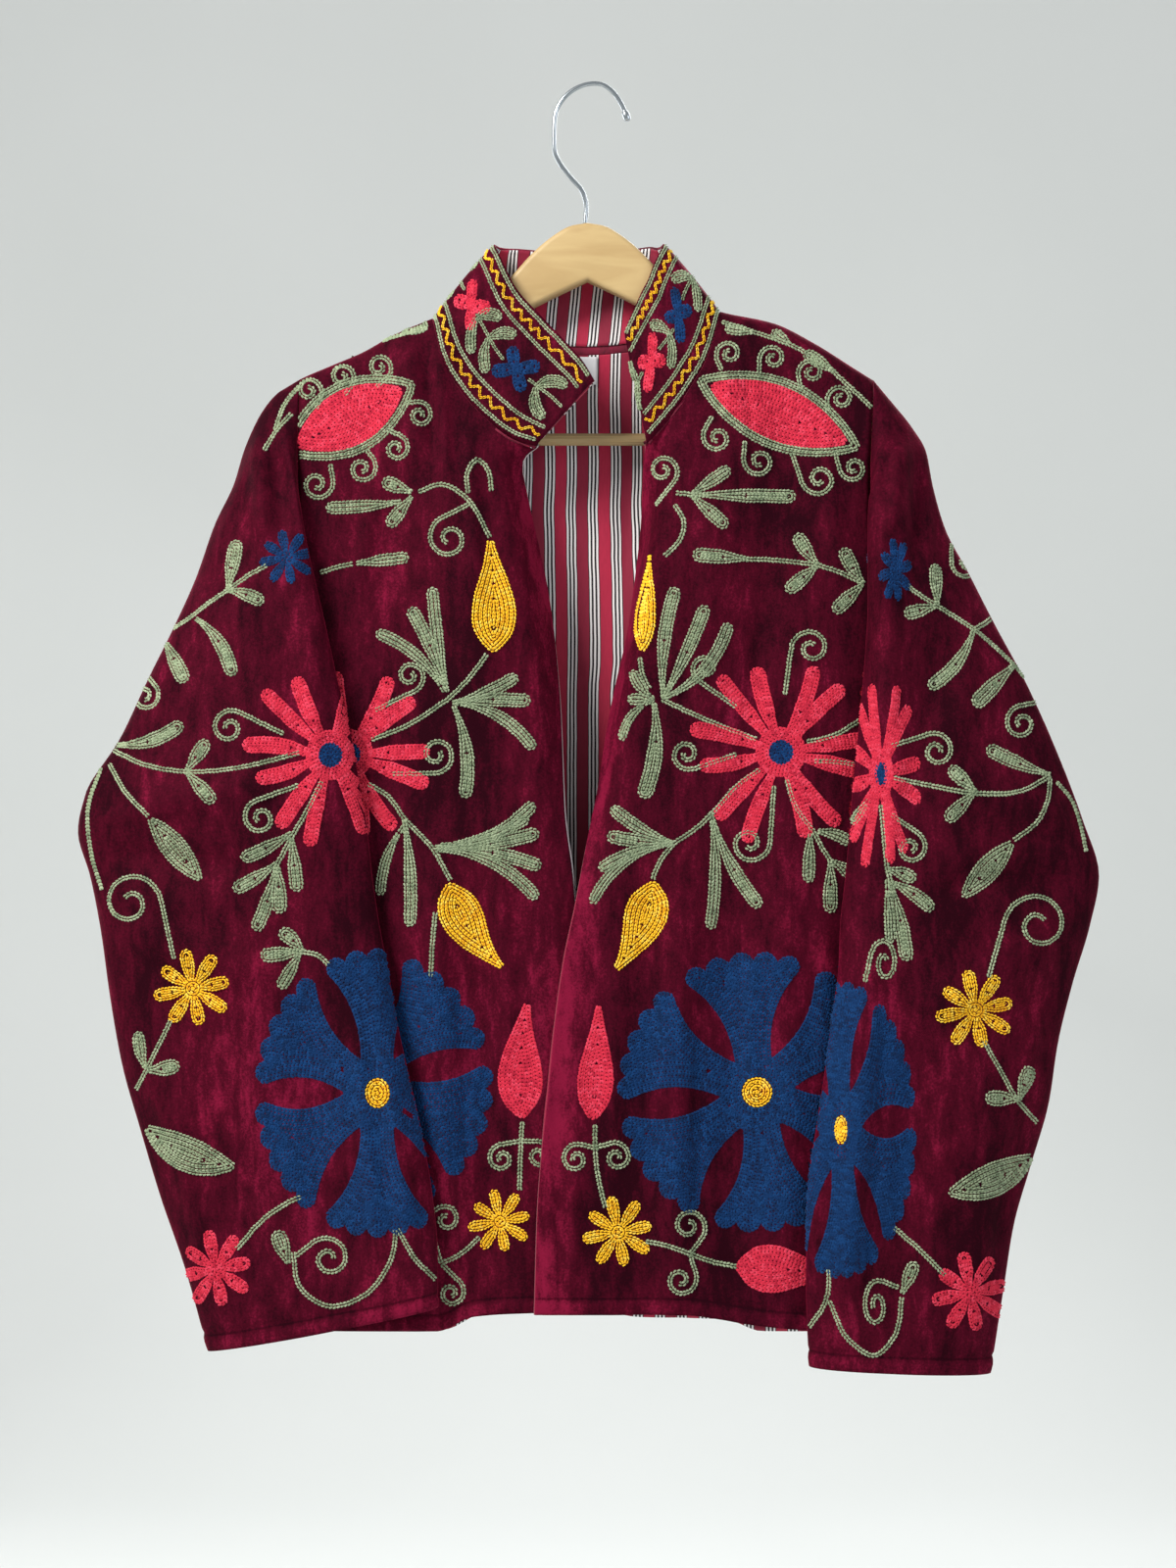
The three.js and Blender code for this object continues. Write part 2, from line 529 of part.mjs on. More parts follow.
// Back and its lining
const back = makeBack();
{
  const us = [...steps(SHOULDER_STEPS, 0, back.shares[0]),
    ...BACK_NECK_AT.slice(1).map((f) => mix(back.shares[0], back.shares[1], f)),
    ...steps(SHOULDER_STEPS, back.shares[1], 1).slice(1)];
  const ts = rowsFor(ARM_BACK);
  const outer = ts.map((t) => us.map((u) => back.at(u, t)));
  const neckFirst = SHOULDER_STEPS;
  const neckLast = SHOULDER_STEPS + BACK_NECK_AT.length - 1;
  const ways = collarWays(COLLAR_BACK, BACK_NECK_AT);
  const norm = normals(outer, 1, false).map((line) => line.map((n) => [-n[0], -n[1], -n[2]]));
  for (let i = 0; i < ts.length; i += 1) {
    if (ts[i] <= UNDERARM_T + 0.001) {
      const f = ts[i] / UNDERARM_T;
      norm[i][0] = clearOf(norm[i][0], armWay(ARMHOLE_RIGHT, f), 1);
      norm[i][us.length - 1] = clearOf(norm[i][us.length - 1], armWay(ARMHOLE_LEFT, f), 1);
    }
  }
  for (let j = 0; j < us.length; j += 1) {
    if (j < neckFirst || j > neckLast) norm[0][j] = [0, 0, -1];
    else norm[0][j] = clearOf(norm[0][j], unit(ways[j - neckFirst]), 1);
  }
  necks[0] = { base: outer[0].slice(neckFirst, neckLast + 1).map((p) => [...p]), ways };
  const seam = (g) => g.map((line, i) => line.map((p) => {
    const nearSide = ts[i] > UNDERARM_T * 0.9 && Math.abs(p[0] - CENTRE_X) > HALF_WIDTH - 30;
    const nearTop = i < 2 && (p[0] < -101 || p[0] > 83);
    return nearSide || nearTop ? [p[0], Math.max(p[1], SEAM / 2), p[2]] : p;
  }));
  put('back', wall(seam(outer), seam(moved(outer, norm, VELVET)), false), MAROON);
  const face = moved(outer, norm, VELVET + PLY_GAP);
  const inside = moved(outer, norm, VELVET + PLY_GAP + COTTON);
  put('back_lining', wall(seam(face), seam(inside), false), CRIMSON);
  const labelY = (x, z) => backY(x, z) - VELVET - PLY_GAP - COTTON - LABEL.off;
  const label = (depth) => steps(3, LABEL.top, LABEL.bottom).map((z) => (
    steps(2, LABEL.left, LABEL.right).map((x) => [x, labelY(x, z) - depth, z])));
  put('neck_label', wall(label(LABEL.thick), label(0), false), 0xe8e6e0);
}

// Collar: once round from the viewer's left front edge, behind the neck, to the right front edge
{
  const left = necks[-1];
  const right = necks[1];
  const mid = necks[0];
  const base = [...left.base.slice(1).reverse(), ...mid.base, ...right.base.slice(1)];
  const ways = [...left.ways.slice(1).reverse(), ...mid.ways, ...right.ways.slice(1)];
  const outer = [0, 0.35, 0.7, 1].map((f) => base.map((p, j) => {
    const way = ways[j];
    const fromEnd = Math.min(j, base.length - 1 - j);
    const q = add(p, unit(way), SEAM + FRONT_NECK_GAP * smooth(3, 0, fromEnd));
    return add(q, way, f);
  }));
  const norm = normals(outer, 1, false);
  const sign = norm[1][Math.floor(base.length / 2)][1] > 0 ? -1 : 1;
  const inward = norm.map((line, i) => line.map((n, j) => {
    const m = [n[0] * sign, n[1] * sign, n[2] * sign];
    return i === 0 ? clearOf(m, unit(ways[j]), -1) : m;
  }));
  put('collar', wall(outer, moved(outer, inward, VELVET), false), MAROON);
  const a = moved(outer, inward, VELVET + PLY_GAP);
  const b = moved(outer, inward, VELVET + PLY_GAP + COTTON);
  put('collar_lining', wall(a, b, false), CRIMSON);
}

// Sleeves
const FOLD_STEPS = [0, 0.05, 0.13, 0.25, 0.4, 0.55, 0.7, 0.84, 0.94, 1];
const HIDDEN_STEPS = [0.07, 0.25, 0.5, 0.75, 1];
const BACK_STEPS = [0.18, 0.38, 0.57, 0.74, 0.87, 0.945, 0.978, 0.994];
const STRAIGHT = [0, 0, 0.15, 0.4, 0.7];
const bump = (f) => (4 * f * (1 - f)) ** 0.42;

function sleeveRing(table, side, k) {
  const s = table[k];
  const armhole = side < 0 ? ARMHOLE_RIGHT : ARMHOLE_LEFT;
  const first = table[0];
  const straight = k < STRAIGHT.length ? STRAIGHT[k] : 1;
  const cap = (x, z) => {
    const edge = sideX(x, z);
    const over = (x - edge) * side;
    return over <= 0 ? frontY(x, z) - SLEEVE_CLEARANCE : 0.6 * over - SLEEVE_CLEARANCE;
  };
  const iy = frontY(s.ix, s.iz) - SLEEVE_CLEARANCE - Math.min(4.5, 1.5 + 1.5 * k);
  const points = [];
  for (const f of FOLD_STEPS) {
    const x = mix(s.ox, s.ix, f);
    const z = mix(s.oz, s.iz, f);
    if (k === 0) {
      const [jx, jz] = along(armhole, f / 3);
      const way = armWay(armhole, f / 3);
      points.push([jx + way[0] * SEAM, frontY(jx, jz) - 0.6 * smooth(0.9, 1, f), jz + way[2] * SEAM]);
    } else {
      const folds = foldHeight(SLEEVE_FOLDS, x, z) * smooth(0, 0.12, f) * smooth(1, 0.9, f);
      points.push([x, mix(s.oy, iy, f) - s.front * bump(f) - folds, z]);
    }
  }
  for (const g of HIDDEN_STEPS) {
    const [jx, jz] = along(armhole, mix(1 / 3, 1, g));
    if (k === 0) {
      const way = armWay(armhole, mix(1 / 3, 1, g));
      const out = SEAM * mix(0.5, 2, smooth(0.7, 1, g));
      points.push([jx + way[0] * out, frontY(jx, jz) - 0.8, jz + way[2] * out]);
    } else {
      const bx = jx + mix(s.ix - first.ix, s.ux - first.ux, g);
      const bz = jz + mix(s.iz - first.iz, s.uz - first.uz, g);
      const x = mix(bx, mix(s.ix, s.ux, g), straight);
      const z = mix(bz, mix(s.iz, s.uz, g), straight);
      points.push([x, mix(iy, cap(x, z), Math.sqrt(Math.min(1, g / 0.25))), z]);
    }
  }
  const uy = cap(s.ux, s.uz);
  for (const b of BACK_STEPS) {
    const armAt = 1 - b;
    const [jx, jz] = along(armhole, armAt);
    if (k === 0) {
      const way = armWay(armhole, armAt);
      const out = SEAM * mix(2.5, 1, smooth(0, 0.5, b));
      points.push([jx + way[0] * out, backY(jx, jz), jz + way[2] * out]);
    } else {
      const way = armWay(armhole, armAt);
      const out = 3 * (1 - smooth(0.2, 0.7, b));
      const bx = jx + mix(s.ux - first.ux, s.ox - first.ox, b) + way[0] * out;
      const bz = jz + mix(s.uz - first.uz, s.oz - first.oz, b) + way[2] * out;
      const x = mix(bx, mix(s.ux, s.ox, b), straight);
      const z = mix(bz, mix(s.uz, s.oz, b), straight);
      const free = mix(uy, s.oy, b) + s.back * bump(b);
      points.push([x, z < UNDERARM_Z ? Math.min(free, cap(x, z)) : free, z]);
    }
  }
  return points;
}

for (const side of [-1, 1]) {
  const table = side < 0 ? SLEEVE_RIGHT : SLEEVE_LEFT;
  const armhole = side < 0 ? ARMHOLE_RIGHT : ARMHOLE_LEFT;
  const outer = table.map((_, k) => sleeveRing(table, side, k));
  const norm = normals(outer, -side, true);
  const cuts = [...FOLD_STEPS.map((f) => f / 3), ...HIDDEN_STEPS.map((g) => mix(1 / 3, 1, g)),
    ...BACK_STEPS.map((b) => 1 - b)];
  cuts.forEach((f, j) => {
    norm[0][j] = clearOf(norm[0][j], armWay(armhole, f), -1);
  });
  put(side < 0 ? 'sleeve_right' : 'sleeve_left', wall(outer, moved(outer, norm, WALL), true), MAROON);
}

// Hanger arms: half of the outline, from the top of the neck round the tip to the underside
const ARM_OUTLINE = row(['x', 'z'], [
  [0, -90], [12, -92.3], [23, -98.8], [36.5, -110.3], [48, -123], [63, -139], [83, -153.4], [101.5, -160.4],
  [128, -169.4], [147, -178.5], [166, -186.8], [182, -194.2], [189, -201], [196, -211], [202, -221],
  [205.5, -229], [205, -239], [199, -245], [188, -245], [172, -241], [172, -221], [160, -213], [128, -195],
  [96, -177], [64, -160], [37, -146], [19, -137], [0, -128],
]);
{
  const right = ARM_OUTLINE.map((p) => [HANGER_X + p.x, p.z]);
  const left = ARM_OUTLINE.slice(1, -1).reverse().map((p) => [HANGER_X - p.x, p.z]);
  const shape = new THREE.Shape([...right, ...left].map(([x, z]) => new THREE.Vector2(x, z)));
  const geometry = new THREE.ExtrudeGeometry(shape, {
    depth: ARM_THICKNESS - 2 * ARM_ROUND,
    bevelEnabled: true,
    bevelThickness: ARM_ROUND,
    bevelSize: ARM_ROUND,
    bevelOffset: -ARM_ROUND,
    bevelSegments: 2,
    steps: 1,
  });
  geometry.rotateX(Math.PI / 2);
  geometry.translate(0, ARM_THICKNESS / 2 - ARM_ROUND, 0);
  put('hanger_arms', geometry, WOOD, 0.6);
}

// Trouser bar between the arms
{
  const bar = new THREE.CylinderGeometry(BAR_RADIUS, BAR_RADIUS, 2 * (BAR_HALF - 0.3), 12, 1);
  bar.rotateZ(Math.PI / 2);
  bar.translate(HANGER_X, 0, BAR_Z);
  put('hanger_bar', bar, WOOD, 0.6);
}

// Hook wire, from the wood up and over to its ball end
const HOOK = row(['x', 'z', 'radius'], [
  [-3, -89.6, 1], [-3, -75, 1], [-5, -69, 1], [-12.8, -59.7, 1], [-20, -50, 1], [-22.8, -44, 1], [-23.5, -36, 1],
  [-23.4, -28, 1], [-22, -16.5, 1], [-17, -7.8, 1], [-11, -2.7, 1], [-5, 0.2, 1], [1, 1.5, 1], [8.5, 0.7, 1],
  [14.7, -3.6, 1], [19.6, -10.2, 1], [22.4, -16, 1], [23, -17.6, 1.5], [23.8, -19.8, 1.65], [24.6, -22, 1.4],
  [24.9, -22.9, 0.6],
]);
{
  const around = 8;
  const rings = HOOK.map((p, i) => {
    const a = HOOK[Math.max(0, i - 1)];
    const b = HOOK[Math.min(HOOK.length - 1, i + 1)];
    const t = unit([b.x - a.x, 0, b.z - a.z]);
    const side = [t[2], 0, -t[0]];
    return Array.from({ length: around }, (_, j) => {
      const angle = (2 * Math.PI * (j + 0.5)) / around;
      const r = WIRE_RADIUS * p.radius / Math.cos(Math.PI / around);
      return [p.x + side[0] * r * Math.cos(angle), r * Math.sin(angle), p.z + side[2] * r * Math.cos(angle)];
    });
  });
  const faces = [];
  const at = (i, j) => i * around + (j % around);
  for (let i = 0; i < rings.length - 1; i += 1) {
    for (let j = 0; j < around; j += 1) {
      faces.push([at(i, j), at(i, j + 1), at(i + 1, j + 1)], [at(i, j), at(i + 1, j + 1), at(i + 1, j)]);
    }
  }
  for (let j = 1; j < around - 1; j += 1) {
    faces.push([at(0, 0), at(0, j + 1), at(0, j)]);
    faces.push([at(rings.length - 1, 0), at(rings.length - 1, j), at(rings.length - 1, j + 1)]);
  }
  put('hanger_hook', solid(rings.flat(), faces), 0xb8bcc0, 0.3, 1);
}

export default group;
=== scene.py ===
"""An embroidered velvet jacket with a stand collar, hung open on a wooden hanger.

Lengths in the tables are millimetres in the part's own frame: X to the right, Y away from
the camera, Z up, with the origin at the inner top of the hanger's hook.
"""

import math

import bmesh
import bpy
import numpy as np
from bpy.props import FloatProperty, FloatVectorProperty, PointerProperty
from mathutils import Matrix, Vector
from mathutils.bvhtree import BVHTree


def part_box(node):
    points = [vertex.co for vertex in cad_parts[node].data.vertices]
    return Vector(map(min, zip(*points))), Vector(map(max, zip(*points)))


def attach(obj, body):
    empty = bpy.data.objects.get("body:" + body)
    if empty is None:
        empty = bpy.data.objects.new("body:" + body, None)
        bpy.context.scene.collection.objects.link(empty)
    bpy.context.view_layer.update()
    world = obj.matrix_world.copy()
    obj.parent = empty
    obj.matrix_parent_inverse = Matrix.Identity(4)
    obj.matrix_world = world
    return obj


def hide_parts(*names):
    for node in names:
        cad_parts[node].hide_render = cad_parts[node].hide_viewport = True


bl_info = {
    "name": "Embroidered velvet jacket",
    "version": (1, 0, 0),
    "blender": (4, 5, 0),
    "location": "3D View > Sidebar > Jacket",
    "description": "Builds a chain-stitched velvet jacket on a wooden hanger",
    "category": "Add Mesh",
}

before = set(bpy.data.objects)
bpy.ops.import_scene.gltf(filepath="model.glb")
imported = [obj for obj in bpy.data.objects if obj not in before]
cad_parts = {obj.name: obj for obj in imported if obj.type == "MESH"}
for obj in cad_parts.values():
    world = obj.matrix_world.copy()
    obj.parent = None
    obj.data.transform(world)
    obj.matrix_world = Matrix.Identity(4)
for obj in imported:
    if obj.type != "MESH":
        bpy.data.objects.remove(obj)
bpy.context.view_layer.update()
MM = 0.001
FINE = 1.0


def table(names, rows):
    """Columns of a table by name."""
    return {name: np.array(column, float) for name, column in zip(names, zip(*rows))}


# Body
CENTRE_X = -2
HALF_WIDTH = 244
# Width of the front and back linings, as a share of the velvet's
LINING_WIDTH = 0.988
SIDE_STRIP = 30
PANEL_LENGTH = 640
UNDERARM_Z = -393
# The side edge follows the armhole for this share of its rows, then the side seam
UNDERARM_T = 0.35
SHOULDER_ROUND = 10.5
FRONT_FILL = {"depth": 17, "length": 75, "belly": 5}
BACK_FILL = {"depth": 12, "length": 90, "belly": 3}
SIDE_POWER = 8
SEAM = 0.35
PLY_GAP = 0.3
SLEEVE_CLEARANCE = 3.5
FRONT_NECK_GAP = 1.2
HANGER_X = -1.6

SHOULDER = table(("x", "z"), [
    (-230, -218), (-190, -192.4), (-168, -182.8), (-148.5, -174.5), (-129, -163.6), (-103, -152.1),
    (-60, -136), (0, -128), (50, -134), (85, -147.6), (120, -155.3), (146, -168.1), (171.5, -184.1),
    (184.3, -192.2), (230, -222),
])
ARMHOLE_RIGHT = table(("x", "z"), [
    (-188.2, -191.3), (-188.8, -215), (-188.8, -236), (-188.2, -268), (-192.6, -304), (-204, -342),
    (-223, -374), (-245.6, -393),
])
ARMHOLE_LEFT = table(("x", "z"), [
    (184.3, -192.2), (182, -228), (181, -250), (180.5, -285), (184.3, -317), (195, -348),
    (217, -378), (241.6, -393),
])
NECK_RIGHT = table(("x", "z"), [
    (-103, -152.1), (-101, -160), (-96, -180), (-83.5, -202.5), (-64.5, -222.8), (-50, -233.5), (-34.5, -238),
])
NECK_LEFT = table(("x", "z"), [
    (85, -147.6), (80, -167.5), (74, -184), (67, -196.3), (59, -209), (50.3, -220.2), (36.4, -236),
])
NECK_BACK = table(("x", "z"), [
    (-103, -152.1), (-93, -156), (-53, -168.4), (-2.6, -171.9), (44, -167.1), (77.4, -155), (85, -147.6),
])

# Front edges: where the edge lies, where its turned strip begins and its turn in degrees
EDGE_RIGHT = table(("z", "edge", "ridge", "turn"), [
    (-238, -34.5, -64.5, 12), (-247, -44.5, -65, 36), (-263, -41.7, -62, 50), (-302, -33, -57, 58),
    (-334, -26.5, -50, 58), (-375, -21.5, -43, 52), (-407, -19, -39, 45), (-475, -16.4, -38, 25),
    (-515, -11.4, -38, 14), (-560, -8.5, -39, 8), (-600, -7.6, -40, 0), (-708, -10.8, -42, 0),
    (-795, -14, -44, 0),
])
EDGE_LEFT = table(("z", "edge", "ridge", "turn"), [
    (-236, 35.2, 61, 22), (-255, 34.6, 60, 50), (-286, 33.3, 56, 68), (-315, 30.2, 49, 76),
    (-340, 27, 43, 77), (-359, 23.9, 38, 76), (-395, 15.7, 31, 70), (-425, 10, 26, 62),
    (-455, 5.6, 22, 52), (-490, -1.5, 18, 36), (-515, -6, 16, 18), (-535, -9.5, 16, 5),
    (-568, -16.4, 16, 0), (-613, -22.7, 14, 0), (-651, -26.5, 11, 0), (-695, -31, 7, 0),
    (-727, -33.4, 5, 0), (-796, -35.3, 3, 0),
])
HEM_RIGHT = table(("x", "z"), [
    (-246, -806), (-190, -808), (-98.5, -807.5), (-74.5, -798), (-44, -796), (-14, -795),
])
HEM_LEFT = table(("x", "z"), [
    (-35.3, -796), (3, -796), (62, -797), (84, -800), (100, -803), (138.5, -807), (188, -809), (242, -809),
])
HEM_BACK = table(("x", "z"), [
    (-246, -812), (-150, -817), (-98, -817), (-70, -806), (-36, -805), (10, -806), (33, -809), (90, -810),
    (115, -818), (150, -818), (242, -814),
])

COLLAR_HEIGHT = 66
# Collar: the way from the seam up to the top edge, by the fraction of each seam run
COLLAR_RIGHT = table(("at", "dx", "dy", "dz"), [
    (0, 39.6, 4, 48.8), (0.08, 41, 4, 50), (0.28, 44, 4, 53), (0.52, 44, 2, 57.6), (0.75, 39, 0, 60),
    (0.9, 37.6, -6, 53), (1, 36, -12, 39),
])
COLLAR_LEFT = table(("at", "dx", "dy", "dz"), [
    (0, -36.4, 2, 43.3), (0.2, -38, 6, 50), (0.52, -32, 10, 62), (0.8, -22, 12, 70), (1, -14, 14, 72),
])
COLLAR_BACK = table(("at", "dx", "dy", "dz"), [
    (0, 39.6, 4, 48.8), (0.06, 40, 6, 53.4), (0.28, 25.8, 8, 65), (0.52, 0, 9, 68.6),
    (0.75, -19.4, 8, 64.5), (0.94, -34.7, 5, 54), (1, -36.4, 2, 43.3),
])

# Sleeves, a row per section: the outer fold, the inner fold over the front, the underarm seam,
# the depth of the outer fold and how far the two layers stand out
SLEEVE_COLUMNS = ("ox", "oz", "ix", "iz", "ux", "uz", "oy", "front", "back")
SLEEVE_RIGHT = table(SLEEVE_COLUMNS, [
    (-188.2, -191.3, -188.2, -268, -245.6, -393, 0, 0, 0),
    (-203, -200, -184.5, -286, -250, -397, 0, 14, 18),
    (-214, -213, -181, -304, -252, -401, 0, 16, 18),
    (-225, -237, -177, -322, -253, -406, -2, 18, 18),
    (-232, -261, -172, -343, -254, -412, -4, 20, 18),
    (-244, -287, -167, -365, -255, -419, -6, 21, 18),
    (-256, -322, -162, -388, -256, -428, -8, 22, 18),
    (-270, -354, -157, -408, -257, -438, -10, 22, 17),
    (-287, -389, -151, -434, -258, -450, -12, 23, 16),
    (-305, -427, -147, -460, -258, -465, -12, 23, 15),
    (-327, -462, -142, -490, -258, -484, -12, 24, 15),
    (-332, -487, -139, -518, -258, -508, -12, 24, 15),
    (-324, -516, -135, -545, -254, -532, -12, 24, 14),
    (-317, -551, -129, -576, -248, -565, -13, 23, 13),
    (-311, -593, -123, -610, -242, -601, -14, 22, 12),
    (-303, -637, -116, -641, -234, -640, -15, 22, 11),
    (-291, -679, -108, -675, -224, -677, -16, 21, 10),
    (-278, -722, -101, -713, -213, -717, -17, 20, 9),
    (-262, -768, -97, -754, -202, -762, -18, 19, 8),
    (-247, -822, -97, -790, -191, -810, -18, 18, 8),
])
SLEEVE_LEFT = table(SLEEVE_COLUMNS, [
    (184.3, -192.2, 181, -255, 241.6, -393, 0, 0, 0),
    (198, -208, 179, -274, 246, -397, 0, 14, 18),
    (210, -223, 178, -292, 248, -401, 0, 16, 18),
    (219, -239, 178, -314, 249, -406, -2, 18, 18),
    (223, -261, 178, -340, 250, -412, -4, 20, 18),
    (231, -290, 176.5, -370, 251, -419, -6, 21, 18),
    (246, -319, 174, -400, 255, -428, -8, 22, 18),
    (263, -353, 171, -431, 256, -440, -10, 22, 17),
    (282, -389, 168, -459, 256, -455, -12, 23, 16),
    (301, -431, 166, -487, 257, -476, -12, 23, 15),
    (319, -478, 163, -519, 256, -500, -12, 24, 15),
    (330, -515, 160, -547, 257, -532, -12, 24, 15),
    (324, -548, 159, -572, 253, -559, -12, 24, 14),
    (313, -584, 155, -603, 246, -593, -13, 23, 13),
    (303, -624, 150, -638, 239, -630, -14, 22, 12),
    (297, -662, 145, -672, 232, -667, -15, 22, 11),
    (285, -703, 140, -704, 224, -704, -16, 21, 10),
    (274, -741, 138, -735, 216, -738, -17, 20, 9),
    (267, -784, 138, -779, 209, -782, -18, 19, 8),
    (259, -836, 140, -828, 204, -832, -18, 18, 8),
])

# Soft folds: a ridge (+) or trough (-) from one point to another, its half width and its height
FOLD_COLUMNS = ("x0", "z0", "x1", "z1", "width", "height")
FRONT_FOLDS = table(FOLD_COLUMNS, [
    (-120, -168, -112, -250, 10, 4.5),
    (-150, -200, -120, -360, 16, -3.2),
    (-90, -235, -70, -420, 15, 3.9),
    (-100, -500, -95, -780, 14, 5.9),
    (-70, -520, -62, -790, 12, -3.9),
    (-150, -480, -140, -780, 18, -3.9),
    (95, -165, 100, -260, 11, 3.9),
    (130, -200, 108, -400, 17, -3.2),
    (80, -260, 70, -440, 14, 3.9),
    (58, -520, 54, -790, 13, 5.9),
    (88, -500, 92, -790, 15, -3.9),
    (125, -470, 130, -790, 17, 4.5),
])
FRONT_CREASES = table(FOLD_COLUMNS, [
    (-98, -170, -92, -262, 5, 1.8),
    (-107, -176, -101, -240, 4, -1.4),
    (-78, -232, -72, -330, 5, 1.6),
    (-130, -215, -150, -330, 6, 1.3),
    (-118, -380, -84, -470, 7, 1.2),
    (-60, -470, -52, -640, 6, 1.5),
    (-86, -560, -80, -700, 5, -1.3),
    (-30, -600, -26, -790, 5, 1.1),
    (-122, -640, -112, -800, 6, 1.4),
    (-20, -640, -45, -700, 5, 0.9),
    (90, -180, 84, -270, 5, 1.6),
    (101, -190, 104, -250, 4, -1.2),
    (150, -230, 160, -330, 7, 1.4),
    (60, -300, 52, -430, 5, 1.4),
    (112, -330, 96, -470, 6, -1.2),
    (70, -600, 66, -795, 5, -1.5),
    (20, -560, 12, -720, 6, 1.3),
    (104, -560, 100, -700, 6, 1.4),
    (150, -520, 152, -800, 7, 1.5),
    (-8, -620, -12, -790, 5, 1),
    (40, -640, 78, -690, 6, 1),
])
BACK_FOLDS = table(FOLD_COLUMNS, [
    (-120, -200, -100, -420, 18, 3.6),
    (-60, -230, -75, -600, 20, -3),
    (-10, -260, -20, -780, 22, 3.6),
    (60, -240, 50, -500, 18, -3),
    (110, -210, 120, -560, 20, 4.2),
    (-150, -450, -140, -800, 20, 3.6),
    (90, -560, 85, -800, 18, -3.6),
    (165, -430, 160, -790, 20, 3.6),
])
BACK_CREASES = table(FOLD_COLUMNS, [
    (-140, -215, -128, -330, 7, 1.4),
    (-96, -190, -88, -290, 6, -1.2),
    (-40, -200, -46, -330, 6, 1.1),
    (30, -190, 22, -330, 7, 1.2),
    (88, -180, 96, -300, 6, -1.3),
    (150, -230, 140, -360, 7, 1.5),
    (-180, -420, -120, -520, 9, 1.4),
    (178, -420, 120, -540, 9, 1.4),
    (-100, -520, -96, -800, 6, -1.3),
    (-50, -600, -40, -800, 6, 1.5),
    (20, -540, 14, -790, 7, -1.3),
    (62, -600, 60, -805, 6, 1.6),
    (140, -560, 134, -800, 7, -1.4),
])
SLEEVE_FOLDS = table(FOLD_COLUMNS, [
    (-216, -228, -209, -300, 7, 6),
    (-203, -240, -190, -300, 7, -5.2),
    (-232, -330, -200, -420, 13, 4.5),
    (-300, -470, -200, -455, 12, 6),
    (-315, -500, -210, -510, 11, -6),
    (-300, -545, -205, -580, 13, 4.5),
    (-130, -560, -112, -760, 10, 5.2),
    (-270, -640, -235, -800, 14, 4.5),
    (-180, -600, -160, -800, 16, -4.5),
    (200, -236, 192, -300, 6, 6.8),
    (212, -248, 207, -310, 6, -5.2),
    (190, -310, 189, -420, 9, 5.2),
    (225, -360, 205, -470, 12, -4.5),
    (310, -480, 215, -450, 12, 6),
    (318, -520, 220, -520, 11, -6),
    (300, -560, 210, -600, 13, 5.2),
    (178, -560, 160, -800, 9, 6),
    (250, -620, 245, -810, 14, 4.5),
    (205, -620, 190, -820, 13, -4.5),
])
SLEEVE_CREASES = table(FOLD_COLUMNS, [
    (-222, -236, -238, -300, 4, 1.6),
    (-196, -262, -186, -330, 4, 1.8),
    (-250, -330, -232, -400, 6, 1.4),
    (-180, -350, -172, -470, 6, 1.6),
    (-296, -450, -240, -430, 5, 1.5),
    (-322, -478, -262, -474, 4, 1.7),
    (-318, -522, -256, -536, 5, 1.6),
    (-290, -565, -230, -590, 5, -1.4),
    (-240, -470, -190, -500, 6, 1.3),
    (-300, -620, -262, -690, 6, 1.5),
    (-215, -640, -196, -780, 6, 1.4),
    (-150, -600, -132, -770, 5, 1.6),
    (-255, -700, -230, -790, 5, -1.4),
    (206, -232, 200, -330, 4, 2),
    (186, -270, 186, -350, 4, 1.6),
    (222, -262, 228, -330, 4, -1.4),
    (250, -340, 236, -420, 6, 1.5),
    (196, -430, 186, -560, 5, 1.8),
    (318, -470, 262, -462, 5, 1.6),
    (322, -502, 268, -500, 4, 1.6),
    (312, -545, 250, -566, 5, 1.5),
    (240, -500, 200, -530, 6, 1.3),
    (290, -600, 262, -690, 6, 1.5),
    (226, -640, 216, -800, 5, 1.5),
    (186, -620, 172, -800, 4, -1.6),
    (268, -700, 256, -810, 5, -1.3),
])


# Small maths
def mix(a, b, f):
    return a + (b - a) * f


def smooth(a, b, v):
    f = np.clip((v - a) / (b - a), 0, 1)
    return f * f * (3 - 2 * f)


class Curve:
    """A smooth line through a table's values that never overshoots them."""

    def __init__(self, x, y):
        x, y = (x[::-1], y[::-1]) if x[0] > x[-1] else (x, y)
        h = np.diff(x)
        d = np.diff(y) / h
        before, after = 2 * h[1:] + h[:-1], h[1:] + 2 * h[:-1]
        same = d[:-1] * d[1:] > 0
        safe = np.where(same, d[:-1], 1), np.where(same, d[1:], 1)
        inner = np.where(same, (before + after) / (before / safe[0] + after / safe[1]), 0)
        self.x, self.y = x, y
        self.m = np.concatenate([d[:1], inner, d[-1:]])

    def __call__(self, v):
        v = np.clip(v, self.x[0], self.x[-1])
        i = np.clip(np.searchsorted(self.x, v, side="right") - 1, 0, len(self.x) - 2)
        h = self.x[i + 1] - self.x[i]
        f = (v - self.x[i]) / h
        g = 1 - f
        return ((1 + 2 * f) * g * g * self.y[i] + f * g * g * h * self.m[i]
                + f * f * (3 - 2 * f) * self.y[i + 1] - f * f * g * h * self.m[i + 1])


